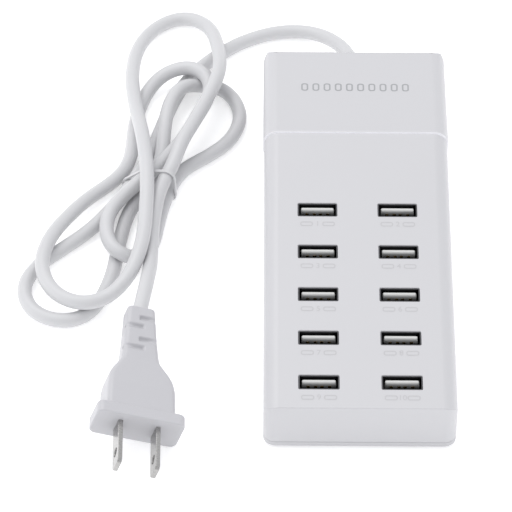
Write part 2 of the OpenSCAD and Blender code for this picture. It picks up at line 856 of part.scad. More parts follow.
module sleeve_arc(r, from, to) {
    translate([-sleeve_bend_r, sleeve_straight, 0]) rotate(from)
        rotate_extrude(angle = to - from) translate([sleeve_bend_r, 0]) circle(r);
}

module cord_sleeve() {
    step = sleeve_turn / sleeve_ribs;
    color("whitesmoke") {
        translate([gland_x, rear_y, gland_h]) rotate([90, 0, 0]) {
            translate([0, 0, -1]) cylinder(d = sleeve_d, h = wall + 1 + SKIN);
            translate([0, 0, wall]) cylinder(d = collar_d, h = collar_t);
        }
        translate([gland_x, rear_y, gland_h]) rotate([-sleeve_sag, 0, 0]) {
            rotate([-90, 0, 0]) cylinder(d = sleeve_d - 0.4, h = sleeve_straight * 0.8);
            rotate([-90, 0, 0]) cylinder(d = sleeve_core_d, h = sleeve_straight);
            sleeve_arc(sleeve_core_d / 2, 0, sleeve_turn);
            for (i = [0 : sleeve_ribs - 1])
                let (share = i / (sleeve_ribs - 1))
                sleeve_arc(
                    ((1 - share) * (sleeve_d - 0.6) + share * sleeve_tip_d) / 2,
                    (i + 0.42) * step, (i + 1) * step
                );
        }
    }
}

// Outline round the outer strands of the bundle, a chosen distance from their middles
module bundle_outline(r) {
    hull() for (p = tied_strands) translate(p) circle(r, $fn = 32);
}

module cord_tie() {
    color("white") translate([tie_place[0], tie_place[1], 0]) rotate([90, 0, tie_turn])
        linear_extrude(tie_w, center = true) difference() {
            bundle_outline(cord_d / 2 + tie_gap + tie_t);
            bundle_outline(cord_d / 2 + tie_gap);
        }
}

// Plug

module at_plug() {
    translate(plug_place) rotate([plug_pitch, plug_roll, plug_yaw]) children();
}

module plug_outline() {
    half = plug_w / 2;
    neck = plug_neck_w / 2;
    front = -plug_sleeve_l - plug_body_l;
    side = [
        [plug_sleeve_w / 2, 0], [neck - 0.4, -plug_sleeve_l + 2], [neck, -plug_sleeve_l],
        [half - 2, -plug_sleeve_l - 5.5], [half - 0.5, -plug_sleeve_l - 9], [half, -plug_sleeve_l - 13],
        [half, front]
    ];
    polygon(concat(side, [for (i = [len(side) - 1 : -1 : 0]) [-side[i][0], side[i][1]]]));
}

module plug_side() {
    front = -plug_sleeve_l - plug_body_l;
    low = plug_sleeve_h / 2;
    top = [
        [0, low], [-plug_sleeve_l + 1, low + 0.2], [-plug_sleeve_l - 2, low + 0.7],
        [-plug_sleeve_l - 11, plug_h / 2], [front, plug_h / 2]
    ];
    polygon(concat(top, [for (i = [len(top) - 1 : -1 : 0]) [top[i][0], -top[i][1]]]));
}

module bevelled_face(w, h, bevel) {
    polygon([
        [w / 2 - bevel, h / 2], [w / 2, h / 2 - bevel], [w / 2, -h / 2 + bevel],
        [w / 2 - bevel, -h / 2], [-w / 2 + bevel, -h / 2], [-w / 2, -h / 2 + bevel],
        [-w / 2, h / 2 - bevel], [-w / 2 + bevel, h / 2]
    ]);
}

// Grooves across the sleeve, turn about from its right and left sides
module sleeve_slots() {
    pairs = floor((plug_sleeve_l - first_slot - slot_step - slot_w) / slot_pair_pitch) + 1;
    for (i = [0 : pairs - 1], side = [-1, 1], z = [-1, 1])
        translate([
            side * (plug_sleeve_w / 2 - slot_past_middle),
            -first_slot - i * slot_pair_pitch - (side < 0 ? slot_step : 0),
            z * (plug_sleeve_h - slot_depth)
        ])
            cube([plug_sleeve_w, slot_w, plug_sleeve_h], center = true);
}

module blade_slot(side) {
    front = -plug_sleeve_l - plug_body_l;
    translate([side * blade_pitch / 2, front + blade_root / 2, 0])
        cube([blade_t, blade_root + SKIN, blade_w], center = true);
}

module plug_body() {
    front = -plug_sleeve_l - plug_body_l;
    color("gainsboro") at_plug() difference() {
        union() {
            intersection() {
                translate([0, 0, -FAR / 2]) linear_extrude(FAR) plug_outline();
                rotate([90, 0, 90]) translate([0, 0, -FAR / 2]) linear_extrude(FAR) plug_side();
                rotate([90, 0, 0]) linear_extrude(FAR, center = true)
                    bevelled_face(plug_w, plug_h, plug_bevel / 2);
            }
            translate([0, front + flange_l, 0]) rotate([90, 0, 0])
                linear_extrude(flange_l) bevelled_face(flange_w, flange_h, plug_bevel);
        }
        sleeve_slots();
        for (side = [-1, 1]) blade_slot(side);
    }
}

module plug_blade(side) {
    front = -plug_sleeve_l - plug_body_l;
    color("silver") at_plug() translate([side * blade_pitch / 2, front, 0]) difference() {
        rotate([90, 0, 90]) linear_extrude(blade_t, center = true) polygon([
            [blade_root, blade_w / 2], [-blade_l + blade_tip, blade_w / 2], [-blade_l, blade_w / 2 - blade_tip],
            [-blade_l, -blade_w / 2 + blade_tip], [-blade_l + blade_tip, -blade_w / 2], [blade_root, -blade_w / 2]
        ]);
        translate([0, -blade_l + blade_hole_from_tip, 0]) rotate([0, 90, 0])
            cylinder(d = blade_hole_d, h = blade_t + 2, center = true);
    }
}

top_shell();
base_plate();
rubber_feet();
case_screws();
port_board();
power_board();
charge_controllers();
mains_leads();
output_leads();
fuse();
bridge_rectifier();
safety_capacitors();
input_choke();
input_capacitors();
transformer_core();
transformer_coil();
switch_transistor();
switch_heat_sink();
output_diode();
output_heat_sink();
output_capacitors();
optocoupler();
cord_sleeve();
cord();
cord_tie();
plug_body();
plug_blade(-1);  // plug_blade_left
plug_blade(1);  // plug_blade_right
for (i = [1 : port_count]) {
    at_port(i) usb_shell();
    at_port(i) usb_tongue();
    at_port(i) usb_contacts();
}
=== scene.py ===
"""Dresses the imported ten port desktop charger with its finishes, its tied mains cord and a soft studio."""
import math
from functools import partial

import bmesh
import bpy
from bpy.props import FloatProperty, FloatVectorProperty, IntProperty, PointerProperty
from bpy.types import Operator, Panel, PropertyGroup
from mathutils import Matrix, Vector


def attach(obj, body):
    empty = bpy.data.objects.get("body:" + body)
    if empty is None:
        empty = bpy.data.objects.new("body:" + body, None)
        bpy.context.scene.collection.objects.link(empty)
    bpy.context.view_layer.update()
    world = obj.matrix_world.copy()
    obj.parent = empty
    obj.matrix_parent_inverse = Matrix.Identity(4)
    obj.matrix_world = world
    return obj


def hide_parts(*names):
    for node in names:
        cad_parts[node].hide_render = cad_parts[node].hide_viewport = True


bl_info = {
    "name": "Desktop charger with tied cord",
    "version": (1, 0, 0),
    "blender": (4, 5, 0),
    "location": "3D View > Sidebar > Charger",
    "description": "Builds the finishes, cord, plug, ports and studio of a ten port desktop charger",
    "category": "Object",
}

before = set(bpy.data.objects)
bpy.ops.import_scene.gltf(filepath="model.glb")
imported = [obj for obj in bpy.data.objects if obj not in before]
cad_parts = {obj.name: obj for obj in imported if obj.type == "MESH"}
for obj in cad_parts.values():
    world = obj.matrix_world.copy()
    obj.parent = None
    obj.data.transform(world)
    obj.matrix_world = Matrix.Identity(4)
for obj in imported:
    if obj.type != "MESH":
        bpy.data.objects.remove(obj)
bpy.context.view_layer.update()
MM = 0.001

# The housing's sizes, as in the part's source
BROW_Y = 37 * MM
BROW_H = 29.2 * MM
HEAD_H = 29.8 * MM
LEDGE_Z = 19.8 * MM
PANEL_SLOPE = math.radians(4.5)
HEAD_FALL = math.radians(1.2)
REAR_Y = 81 * MM
COLUMN_PITCH = 27 * MM
ROW_PITCH = 18.3 * MM
FIRST_ROW = 34.5 * MM
TONGUE_DEPTH = 0.9 * MM
TONGUE_Y = 0.9 * MM
# The least distances of a tongue's front and rear faces, and of its sides, from its middle
TONGUE_INSIDE = 0.5 * MM
TONGUE_SIDE = 5 * MM

# Edge radii of the tongues and blades
TONGUE_EDGE = 0.5 * MM
BLADE_EDGE = 0.18 * MM

# The print's places, and how far it stands proud
MARKS_PAST_BROW = 22.9 * MM
LABEL_PAST_PORT = 6.3 * MM
PRINT_RISE = 0.03 * MM

# The painted highlight line on the brow's step: how far it runs from the middle, half its width, and how pale
# it is
LINE_REACH = 34 * MM
LINE_HALF = 0.16 * MM
HIGHLIGHT_PALER = 1.75
# How fast it fades per metre: at its ends, at the ledge, across it and beside it
LINE_FADES = (300.0, 2000.0, 10000.0, 900.0)

# Least angle of a rounded edge, largest angle within a flat face, and gaps that count as none
SHARP_ANGLE = math.radians(28)
FLAT_ANGLE = math.radians(0.3)
MERGE_GAP = 0.002 * MM
NEAR = 0.03 * MM

# The gland and the bend of its sleeve
GLAND = Vector((1 * MM, REAR_Y, 12 * MM))
SLEEVE_SAG = math.radians(11)
SLEEVE_STRAIGHT = 8 * MM
SLEEVE_BEND = 20 * MM
SLEEVE_TURN = math.radians(20)
RIBBED_SHARE = (0.56, 0.95)
TIP_OVER_CORD = 0.45 * MM
CORE_OVER_CORD = 0.2 * MM
COLLAR_OUTLINE = (
    (0, -3.7), (4.6, -3.7), (5.3, -3.4), (5.3, -2.1), (3.5, -2.0), (3.5, 0.2), (3.7, 0.5), (3.7, 1.2),
    (3.5, 1.6), (0, 1.8))

# The camera's place, from a fit to the photograph
CAMERA_TARGET = Vector((-34.14 * MM, 6.14 * MM, 0))
CAMERA_DISTANCE = 1.1779
CAMERA_AZIMUTH = math.radians(0.06)
CAMERA_TILT = math.radians(46.02)

# The plug's place and tilt
PLUG_PLACE = Vector((-72.9 * MM, -34.3 * MM, 14 * MM))
PLUG_PITCH = math.radians(4.4)
PLUG_ROLL = math.radians(18)
PLUG_YAW = math.radians(2)

# How finely the cord's line is cut, and how often it is smoothed
CORD_STEP = 1.2 * MM
CORD_PASSES = 14

# Points along the cord in millimetres, as in the part's source, from the sleeve to the plug
CORD_POINTS = [
    (-1.6, 100.5, 8.1), (-4.8, 107.5, 6.2), (-10, 113.5, 4.5), (-15.5, 117, 3.2), (-21.5, 118, 2.7),
    (-29, 117, 2.5), (-35, 114.5, 2.5), (-40.5, 111.5, 2.5), (-46, 107, 2.5), (-54, 99, 2.5),
    (-61, 88, 2.5), (-66, 74, 2.5), (-70.5, 57, 2.6), (-75.5, 42, 3.5), (-83, 28, 2.8),
    (-92, 15, 2.5), (-101, 6, 2.5), (-109, -2, 2.5), (-113, -12, 2.5), (-110, -22, 2.5),
    (-102, -27, 2.5), (-93, -26, 2.5), (-87, -18, 2.5), (-83, -5, 2.5), (-81, 11, 2.5),
    (-78, 25, 2.8), (-71, 38, 3.5), (-67.5, 49.5, 4.8), (-67, 56.5, 6.4), (-66.5, 65.5, 7.6),
    (-65, 74.5, 7.8), (-62.5, 80.5, 7.8), (-59.5, 84.5, 7), (-55, 86.8, 4.1), (-50.5, 88.5, 2.9),
    (-46, 86.5, 2.5), (-42.5, 82, 2.5), (-40, 72, 2.5), (-44, 60, 2.5), (-52.5, 51.5, 2.5),
    (-60, 45, 2.9), (-65, 33, 3.5), (-68, 20, 2.5), (-69, 12, 2.5), (-71, 5, 2.9), (-76.5, -1, 5.8),
    (-82.5, 1, 7.8), (-85.5, 8.5, 7.8), (-84.5, 20, 7.6), (-78, 30, 8), (-69, 40, 9),
    (-64, 48, 8.6), (-61, 53.5, 8.3), (-55.5, 66.5, 8), (-51, 79, 8.1), (-51.3, 85.5, 8.5),
    (-54, 89.5, 9), (-58.5, 92.5, 8.2), (-64, 92, 7.4), (-69.5, 90, 5), (-73.5, 85, 2.8),
    (-76, 77, 2.5), (-77.5, 68.5, 2.5), (-78, 60, 2.5), (-78.5, 52, 2.5), (-81, 44, 2.5),
    (-86, 37.5, 2.6), (-93, 29.5, 3.6), (-99.5, 18.5, 5.6), (-105, 6, 7.6), (-107, -7, 7.6),
    (-102, -19, 7.6), (-93, -24, 7.7), (-84, -21, 7.7), (-77, -13, 10.2), (-73, 0, 12.4),
    (-72, 15, 13.2), (-72, 31, 14.9), (-74, 50, 14.3), (-77, 69, 10), (-79, 88, 7.6),
    (-77, 107, 4.6), (-70.5, 120, 2.6), (-61, 125, 2.6), (-52.5, 118, 5), (-48.5, 103, 8.6),
    (-48, 84, 13), (-55.5, 61, 13.2), (-60.5, 48, 13.6), (-63, 39.5, 12), (-67.5, 28, 10.4),
    (-69.5, 15, 8.6), (-70, 3, 8.1), (-70, -6, 8.3), (-71, -19, 12.2),
]

# Places of a colour mix's factor, colours and result among its sockets
MIX_FACTOR = 0
MIX_FIRST = 6
MIX_SECOND = 7
MIX_COLOUR = 2


def add_node(tree, kind, settings, sockets):
    """Adds a node with its settings and the values or links of its sockets, and gives its outputs."""
    made = tree.nodes.new(kind)
    for name, value in settings.items():
        setattr(made, name, value)
    for name, value in sockets.items():
        if isinstance(value, bpy.types.NodeSocket):
            tree.links.new(value, made.inputs[name])
        else:
            made.inputs[name].default_value = value
    return made.outputs


class Wire:
    """One output of a finish's node tree. Arithmetic on it adds the nodes that it needs."""

    def __init__(self, finish, socket):
        self.finish = finish
        self.socket = socket

    def __add__(self, other):
        return self.finish.math("ADD", self, other)

    def __radd__(self, other):
        return self.finish.math("ADD", other, self)

    def __sub__(self, other):
        return self.finish.math("SUBTRACT", self, other)

    def __rsub__(self, other):
        return self.finish.math("SUBTRACT", other, self)

    def __mul__(self, other):
        return self.finish.math("MULTIPLY", self, other)

    def __rmul__(self, other):
        return self.finish.math("MULTIPLY", other, self)

    def __abs__(self):
        return self.finish.node("ShaderNodeMath", {"operation": "ABSOLUTE"}, {0: self})

    def clipped(self):
        """The same value kept between 0 and 1."""
        return self.finish.node("ShaderNodeClamp", {}, {"Value": self}, "Result")


class Finish:
    """A material with one main shader, and the nodes that vary it over a surface."""

    def __init__(self, name, colour, roughness=0.4, metallic=0.0, coat=0.0):
        self.material = bpy.data.materials.new(name)
        self.material.use_nodes = True
        self.material.diffuse_color = (*colour, 1.0)
        self.tree = self.material.node_tree
        self.tree.nodes.clear()
        surface = add_node(self.tree, "ShaderNodeBsdfPrincipled", {}, {
            "Base Color": (*colour, 1.0), "Roughness": roughness, "Metallic": metallic, "Coat Weight": coat})
        self.shader = surface[0].node
        add_node(self.tree, "ShaderNodeOutputMaterial", {}, {"Surface": surface[0]})
        self.place = self.node("ShaderNodeTexCoord", {}, {}, "Object")

    def feed(self, socket, value):
        """Sets a socket to a number or colour, or links it to a wire."""
        if isinstance(value, Wire):
            self.tree.links.new(value.socket, socket)
        else:
            socket.default_value = value

    def node(self, kind, settings, sockets, output=0):
        """Adds a node, with its settings first and then the values or links of its sockets."""
        fed = {name: value.socket if isinstance(value, Wire) else value for name, value in sockets.items()}
        return Wire(self, add_node(self.tree, kind, settings, fed)[output])

    def math(self, operation, first, second):
        return self.node("ShaderNodeMath", {"operation": operation}, {0: first, 1: second})

    def part(self, axis):
        """One coordinate of the places on the object."""
        return self.node("ShaderNodeSeparateXYZ", {}, {0: self.place}, axis)

    def noise(self, scale, detail=2.0, roughness=0.5, place=None):
        sockets = {"Vector": place or self.place, "Scale": scale, "Detail": detail, "Roughness": roughness}
        return self.node("ShaderNodeTexNoise", {}, sockets, "Fac")

    def stretched(self, factors):
        """Places on the object, stretched along its axes."""
        return self.node("ShaderNodeMapping", {}, {"Vector": self.place, "Scale": factors}, "Vector")

    def mix(self, factor, first, second):
        """A colour between two colours."""
        sockets = {MIX_FACTOR: factor, MIX_FIRST: first, MIX_SECOND: second}
        return self.node("ShaderNodeMix", {"data_type": "RGBA"}, sockets, MIX_COLOUR)

    def colour(self, value):
        self.feed(self.shader.inputs["Base Color"], value)

    def rough(self, value):
        self.feed(self.shader.inputs["Roughness"], value)

    def bump(self, height, strength, distance):
        sockets = {"Height": height, "Strength": strength, "Distance": distance}
        self.feed(self.shader.inputs["Normal"], self.node("ShaderNodeBump", {}, sockets, "Normal"))


def shaded(colour, factor):
    return (colour[0] * factor, colour[1] * factor, colour[2] * factor, 1.0)


def moulded_plastic(name, colour, roughness, grain=2600.0, lift=0.00002, painted_light=None):
    """Smooth moulded plastic with a fine spark grain, slow flow marks and faint handling wear. When a
    function is given, it paints light into the colour, as the housing's painted highlight does.
    """
    made = Finish(name, colour, roughness)
    flow = made.noise(18.0, 3.0)
    wear = made.noise(140.0, 4.0, 0.65)
    plain = made.mix(flow, shaded(colour, 0.985), shaded(colour, 1.015))
    made.colour(painted_light(made, plain, colour, wear) if painted_light else plain)
    made.rough(roughness - 0.05 + 0.07 * flow + 0.04 * wear)
    made.bump(made.noise(grain, 2.0), 0.25, lift)
    return made.material


def pale_line(made, plain, colour, wear):
    """A colour with a painted highlight: much paler on the step of the brow, where a bright line of light
    falls, and a little paler just beside it.
    """
    at_ends, at_ledge, across, aside = LINE_FADES
    behind = abs(made.part("Y") - BROW_Y)
    over_head = ((LINE_REACH - abs(made.part("X"))) * at_ends).clipped()
    # The painted highlight is made a little uneven by the wear noise
    over_head = over_head * ((made.part("Z") - LEDGE_Z) * at_ledge).clipped() * (0.7 + 0.3 * wear)
    edge = ((LINE_HALF - behind) * across).clipped() * over_head
    beside = (1.0 - behind * aside).clipped() * over_head
    lighter = made.mix(beside, plain, shaded(colour, 1.08))
    return made.mix(edge, lighter, shaded(colour, HIGHLIGHT_PALER))


def soft_cord_plastic(name, colour, roughness):
    """Soft extruded plastic, with slow swells in its gloss and a faint skin."""
    made = Finish(name, colour, roughness)
    swell = made.noise(60.0, 2.0)
    skin = made.noise(900.0, 3.0, 0.6)
    made.colour(made.mix(swell, shaded(colour, 0.97), shaded(colour, 1.01)))
    made.rough(roughness - 0.06 + 0.12 * swell)
    made.bump(skin, 0.2, 0.00004)
    return made.material


def deep_plastic(name, colour, shade):
    """Plastic of a port's tongue, pale at the panel and darkened a few millimetres down by painted shade,
    where the port's recess is dim.
    """
    made = Finish(name, colour, 0.5)
    down = Vector((0, math.sin(PANEL_SLOPE), -math.cos(PANEL_SLOPE)))
    top = down.dot(on_panel(0, 0))
    sockets = {0: made.place, 1: tuple(down)}
    depth = made.node("ShaderNodeVectorMath", {"operation": "DOT_PRODUCT"}, sockets, "Value") - top
    # Painted shade: the colour goes from pale to nearly black below the tongue's top
    share = ((depth - TONGUE_DEPTH) * 430.0).clipped()
    grain = made.noise(700.0, 3.0)
    made.colour(made.mix(share, (*colour, 1.0), (*shade, 1.0)))
    made.rough(0.46 + 0.1 * grain)
    made.bump(grain, 0.2, 0.00003)
    return made.material


def plated_metal(name, colour, roughness, streak=(1.0, 1.0, 1.0), tone=0.08):
    """Rolled and plated sheet metal, with fine streaks along one way and slight stains."""
    made = Finish(name, colour, roughness, 1.0)
    lines = made.noise(900.0, 3.0, place=made.stretched(streak))
    stain = made.noise(220.0, 3.0)
    made.colour(made.mix(stain, shaded(colour, 1.0 - tone), shaded(colour, 1.0)))
    made.rough(roughness - 0.08 + 0.16 * lines)
    made.bump(lines, 0.15, 0.00002)
    return made.material


def moulded_rubber(name, colour):
    """Matte rubber with a fine pitted skin and dusty high spots."""
    made = Finish(name, colour, 0.8)
    pits = made.noise(1500.0, 3.0, 0.7)
    dust = made.noise(90.0, 4.0, 0.6)
    made.colour(made.mix(dust, shaded(colour, 0.9), shaded(colour, 1.5)))
    made.rough(0.72 + 0.2 * dust)
    made.bump(pits, 0.4, 0.00006)
    return made.material


def board_mask(name, mask, copper):
    """Circuit board with covered tracks that show as slightly lighter, raised lines."""
    made = Finish(name, mask, 0.35, coat=0.3)
    sockets = {"Vector": made.stretched((1.0, 1.0, 0.02)), "Scale": 260.0, "Randomness": 0.35}
    cells = made.node(
        "ShaderNodeTexVoronoi", {"feature": "DISTANCE_TO_EDGE", "distance": "EUCLIDEAN"}, sockets, "Distance")
    covered = ((0.12 - cells) * 12.0).clipped()
    made.colour(made.mix(covered, (*mask, 1.0), (*copper, 1.0)))
    made.rough(0.42 - 0.12 * covered)
    made.bump(covered, 0.3, 0.00005)
    return made.material


def wound_wire(name, colour, scale):
    """Enamelled wire in close turns, with painted shade in the hollows between the turns."""
    made = Finish(name, colour, 0.3, coat=0.4)
    settings = {"wave_type": "BANDS", "bands_direction": "DIAGONAL"}
    sockets = {"Vector": made.place, "Scale": scale, "Distortion": 0.6, "Detail": 1.0}
    turns = made.node("ShaderNodeTexWave", settings, sockets, "Fac")
    # Painted shade: darker in the hollows between the turns, a little lighter on their crowns
    made.colour(made.mix(turns, shaded(colour, 0.45), shaded(colour, 1.1)))
    made.rough(0.45 - 0.2 * turns)
    made.bump(turns, 0.7, 0.0002)
    return made.material


def sintered_core(name, colour):
    """Dark pressed ferrite with a grainy face."""
    made = Finish(name, colour, 0.6)
    grains = made.noise(1100.0, 4.0, 0.7)
    made.colour(made.mix(grains, shaded(colour, 0.7), shaded(colour, 1.4)))
    made.rough(0.5 + 0.25 * grains)
    made.bump(grains, 0.35, 0.00008)
    return made.material


def make_finishes():
    """All finishes by name, made once."""
    sizes = bpy.context.scene.charger_finishes
    housing = tuple(sizes.housing_colour)
    cord = tuple(sizes.cord_colour)
    plug = tuple(sizes.plug_colour)
    return {
        # The housing's colour carries a painted highlight on the brow's step
        "housing": moulded_plastic("housing plastic", housing, sizes.housing_roughness, painted_light=pale_line),
        "base": moulded_plastic("base plastic", shaded(housing, 0.97)[:3], 0.5, 1800.0, 0.00005),
        "feet": moulded_rubber("foot rubber", (0.035, 0.035, 0.037)),
        "screws": plated_metal("zinc plated steel", (0.6, 0.6, 0.62), 0.35),
        "board": board_mask("board solder mask", (0.01, 0.1, 0.045), (0.03, 0.19, 0.08)),
        "epoxy": moulded_plastic("black package epoxy", (0.02, 0.02, 0.022), 0.55, 1500.0, 0.00006),
        "leads": soft_cord_plastic("lead insulation", (0.36, 0.03, 0.02), 0.4),
        "fuse": moulded_plastic("fuse tube", (0.72, 0.76, 0.76), 0.12, 600.0, 0.00001),
        "yellow": moulded_plastic("film capacitor case", (0.75, 0.48, 0.05), 0.4, 900.0, 0.00004),
        "can": moulded_plastic("capacitor shrink sleeve", (0.012, 0.016, 0.06), 0.3, 700.0, 0.00003),
        "copper": wound_wire("enamelled copper", (0.6, 0.22, 0.08), 420.0),
        "ferrite": sintered_core("ferrite", (0.045, 0.045, 0.05)),
        "tape": wound_wire("coil tape", (0.72, 0.5, 0.06), 160.0),
        "sink": plated_metal("heat sink sheet", (0.8, 0.8, 0.82), 0.4, (1.0, 1.0, 12.0)),
        "coupler": moulded_plastic("coupler case", (0.72, 0.72, 0.7), 0.5, 1500.0, 0.00004),
        "sleeve": soft_cord_plastic("sleeve plastic", cord, 0.5),
        "cord": soft_cord_plastic("cord plastic", cord, sizes.cord_roughness),
        "tie": soft_cord_plastic("tie strip", (0.585, 0.585, 0.597), 0.4),
        "plug": moulded_plastic("plug plastic", plug, 0.42, 2000.0, 0.00004),
        "blades": plated_metal("nickel plate", (0.45, 0.444, 0.437), 0.28, (1.0, 10.0, 1.0), 0.2),
        # The port steel's colour is made very dark: painted shade for the dim insides of the ports
        "ports": plated_metal("port steel", (0.094, 0.094, 0.1), 0.36, (1.0, 1.0, 12.0), 0.2),
        # The tongues' second colour is painted shade deeper in the ports
        "tongues": deep_plastic("tongue plastic", (0.62, 0.62, 0.61), (0.075, 0.075, 0.077)),
        "contacts": plated_metal("contact gold", (0.85, 0.6, 0.24), 0.25, (1.0, 1.0, 12.0)),
        "print": moulded_plastic("grey print", (0.337, 0.343, 0.355), 0.5, 900.0, 0.00001),
        "faint": moulded_plastic("faint print", (0.485, 0.481, 0.494), 0.5, 900.0, 0.00001),
    }


FINISHES = {}


def finish(name):
    if not FINISHES:
        FINISHES.update(make_finishes())
    return FINISHES[name]


def wear(piece, name):
    """Gives a piece one finish in place of any that it has."""
    piece.data.materials.clear()
    piece.data.materials.append(finish(name))


def linked(name, data):
    made = bpy.data.objects.new(name, data)
    bpy.context.scene.collection.objects.link(made)
    return made


def meshed(name, shape):
    """A piece from a finished bmesh."""
    mesh = bpy.data.meshes.new(name)
    shape.to_mesh(mesh)
    shape.free()
    return linked(name, mesh)


def skinned(shape, rings):
    """Joins each ring of corners to the next with faces. A ring may be a single corner."""
    for first, second in zip(rings, rings[1:]):
        count = max(len(first), len(second))
        for number in range(count):
            after = (number + 1) % count
            corners = [first[number % len(first)], first[after % len(first)]]
            corners += [second[after % len(second)], second[number % len(second)]]
            shape.faces.new(list(dict.fromkeys(corners)))
    bmesh.ops.recalc_face_normals(shape, faces=shape.faces)


def frozen(piece, name):
    """Turns a piece with its modifiers into a plain mesh piece."""
    bpy.context.view_layer.update()
    shown = piece.evaluated_get(bpy.context.evaluated_depsgraph_get())
    mesh = bpy.data.meshes.new_from_object(shown)
    mesh.name = name
    old = piece.data
    bpy.data.objects.remove(piece)
    if old.users == 0 and isinstance(old, bpy.types.Mesh):
        bpy.data.meshes.remove(old)
    return linked(name, mesh)


def softened(node, name, width, segments=3, cuts=(), crisp=None, hard=False):
    """A copy of a CAD solid whose sharp edges get the small radius of a moulding.

    The cuts are places across the solid at which its flat faces are split, so that no face has a hole.
    Edges for which crisp gives true stay as they are, and their shading breaks there too if hard is set.
    """
    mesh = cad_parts[node].data.copy()
    shape = bmesh.new()
    shape.from_mesh(mesh)
    bmesh.ops.remove_doubles(shape, verts=shape.verts, dist=MERGE_GAP)
    for place in cuts:
        parts = shape.verts[:] + shape.edges[:] + shape.faces[:]
        cut = bmesh.ops.bisect_plane(shape, geom=parts, dist=1e-7, plane_co=(place, 0, 0), plane_no=(1, 0, 0))
        for part in cut["geom_cut"]:
            if isinstance(part, bmesh.types.BMEdge):
                part.seam = True
    bmesh.ops.dissolve_limit(
        shape, angle_limit=FLAT_ANGLE, use_dissolve_boundaries=False,
        verts=shape.verts, edges=shape.edges, delimit={"SEAM"})
    for face in shape.faces:
        face.smooth = True
    weights = shape.edges.layers.float.new("bevel_weight_edge")
    for edge in shape.edges:
        if edge.is_manifold and edge.calc_face_angle() > SHARP_ANGLE:
            stays = bool(crisp and crisp(edge))
            edge.smooth = not (stays and hard)
            edge[weights] = 0.0 if stays else 1.0
    shape.to_mesh(mesh)
    shape.free()
    piece = linked(name, mesh)
    bevel = piece.modifiers.new("soft edges", "BEVEL")
    bevel.width = width
    bevel.segments = segments
    bevel.limit_method = "WEIGHT"
    bevel.use_clamp_overlap = False
    return flat_faced(piece)


def head_ledge(edge):
    """True for the edges of the thin ledge under the head, and for the foot of the brow's step."""
    if all(abs(corner.co.z - LEDGE_Z) < NEAR for corner in edge.verts):
        return True
    return not edge.is_convex and all(abs(corner.co.y - BROW_Y) < NEAR for corner in edge.verts)


def tongue_foot(number):
    """A test that is false for the edges round a tongue's top and its rear corners, and true for the rest."""
    port = port_matrix(number).inverted()

    def test(edge):
        ends = [port @ corner.co for corner in edge.verts]
        top = -TONGUE_DEPTH - NEAR
        at_top = all(end.z > top for end in ends)
        at_front = all(end.y < TONGUE_Y - TONGUE_INSIDE for end in ends)
        upright = all(end.y > TONGUE_Y + TONGUE_INSIDE and abs(end.x) > TONGUE_SIDE for end in ends)
        rises = max(end.z for end in ends) > top
        return not ((at_top and not at_front) or (upright and rises and not at_top))

    return test


def flat_faced(piece):
    """Freezes a piece with normals that keep its broad flat faces flat."""
    even = piece.modifiers.new("flat faces", "WEIGHTED_NORMAL")
    even.mode = "FACE_AREA"
    even.weight = 100
    even.thresh = 0.01
    even.keep_sharp = True
    return frozen(piece, piece.name)


def on_panel(x, along, rise=0.0):
    """A place on the sloped port panel, from the brow down to the front."""
    y = BROW_Y - along * math.cos(PANEL_SLOPE) - rise * math.sin(PANEL_SLOPE)
    z = BROW_H - along * math.sin(PANEL_SLOPE) + rise * math.cos(PANEL_SLOPE)
    return Vector((x, y, z))


def port_matrix(number, past=0.0, rise=0.0):
    """A port's place on the panel, or a place past it towards the front."""
    side = -1 if number % 2 else 1
    along = FIRST_ROW + ((number - 1) // 2) * ROW_PITCH + past
    place = on_panel(side * COLUMN_PITCH / 2, along, rise)
    return Matrix.Translation(place) @ Matrix.Rotation(PANEL_SLOPE, 4, "X")


def head_matrix(behind, rise):
    """A place on the head's top, a distance behind the brow."""
    middle = Vector((0, BROW_Y + behind, HEAD_H - behind * math.tan(HEAD_FALL) + rise))
    return Matrix.Translation(middle) @ Matrix.Rotation(-HEAD_FALL, 4, "X")


def sleeve_line(steps):
    """The middle line of the sleeve, from the rear wall to its tip."""
    tilt = Matrix.Rotation(-SLEEVE_SAG, 3, "X")
    made = [Vector((0, SLEEVE_STRAIGHT * number / 4, 0)) for number in range(4)]
    for number in range(steps + 1):
        turn = SLEEVE_TURN * number / steps
        made.append(Vector((
            SLEEVE_BEND * (math.cos(turn) - 1), SLEEVE_STRAIGHT + SLEEVE_BEND * math.sin(turn), 0)))
    return [GLAND + tilt @ point for point in made]


def smooth_line(points, spacing):
    """An even line through points, by the centripetal spline that such loops follow."""
    ends = [2 * points[0] - points[1]] + points + [2 * points[-1] - points[-2]]
    dense = []
    for number in range(len(points) - 1):
        before, first, second, after = ends[number:number + 4]
        times = [0.0]
        for start, stop in ((before, first), (first, second), (second, after)):
            times.append(times[-1] + max((stop - start).length, 1e-6) ** 0.5)
        for step in range(16):
            time = times[1] + (times[2] - times[1]) * step / 16
            level = [before, first, second, after]
            for spans in (((0, 1), (1, 2), (2, 3)), ((0, 2), (1, 3)), ((1, 2),)):
                level = [
                    start.lerp(stop, (time - times[low]) / (times[high] - times[low]))
                    for start, stop, (low, high) in zip(level, level[1:], spans)]
            dense.append(level[0])
    dense.append(points[-1])
    return evened(dense, spacing)


def evened(line, spacing):
    """The same line with its points a fixed distance apart."""
    lengths = [0.0]
    for first, second in zip(line, line[1:]):
        lengths.append(lengths[-1] + (second - first).length)
    count = max(int(round(lengths[-1] / spacing)), 2)
    made = []
    place = 0
    for number in range(count + 1):
        wanted = lengths[-1] * number / count
        while place < len(line) - 2 and lengths[place + 1] < wanted:
            place += 1
        span = max(lengths[place + 1] - lengths[place], 1e-9)
        made.append(line[place].lerp(line[place + 1], (wanted - lengths[place]) / span))
    return made


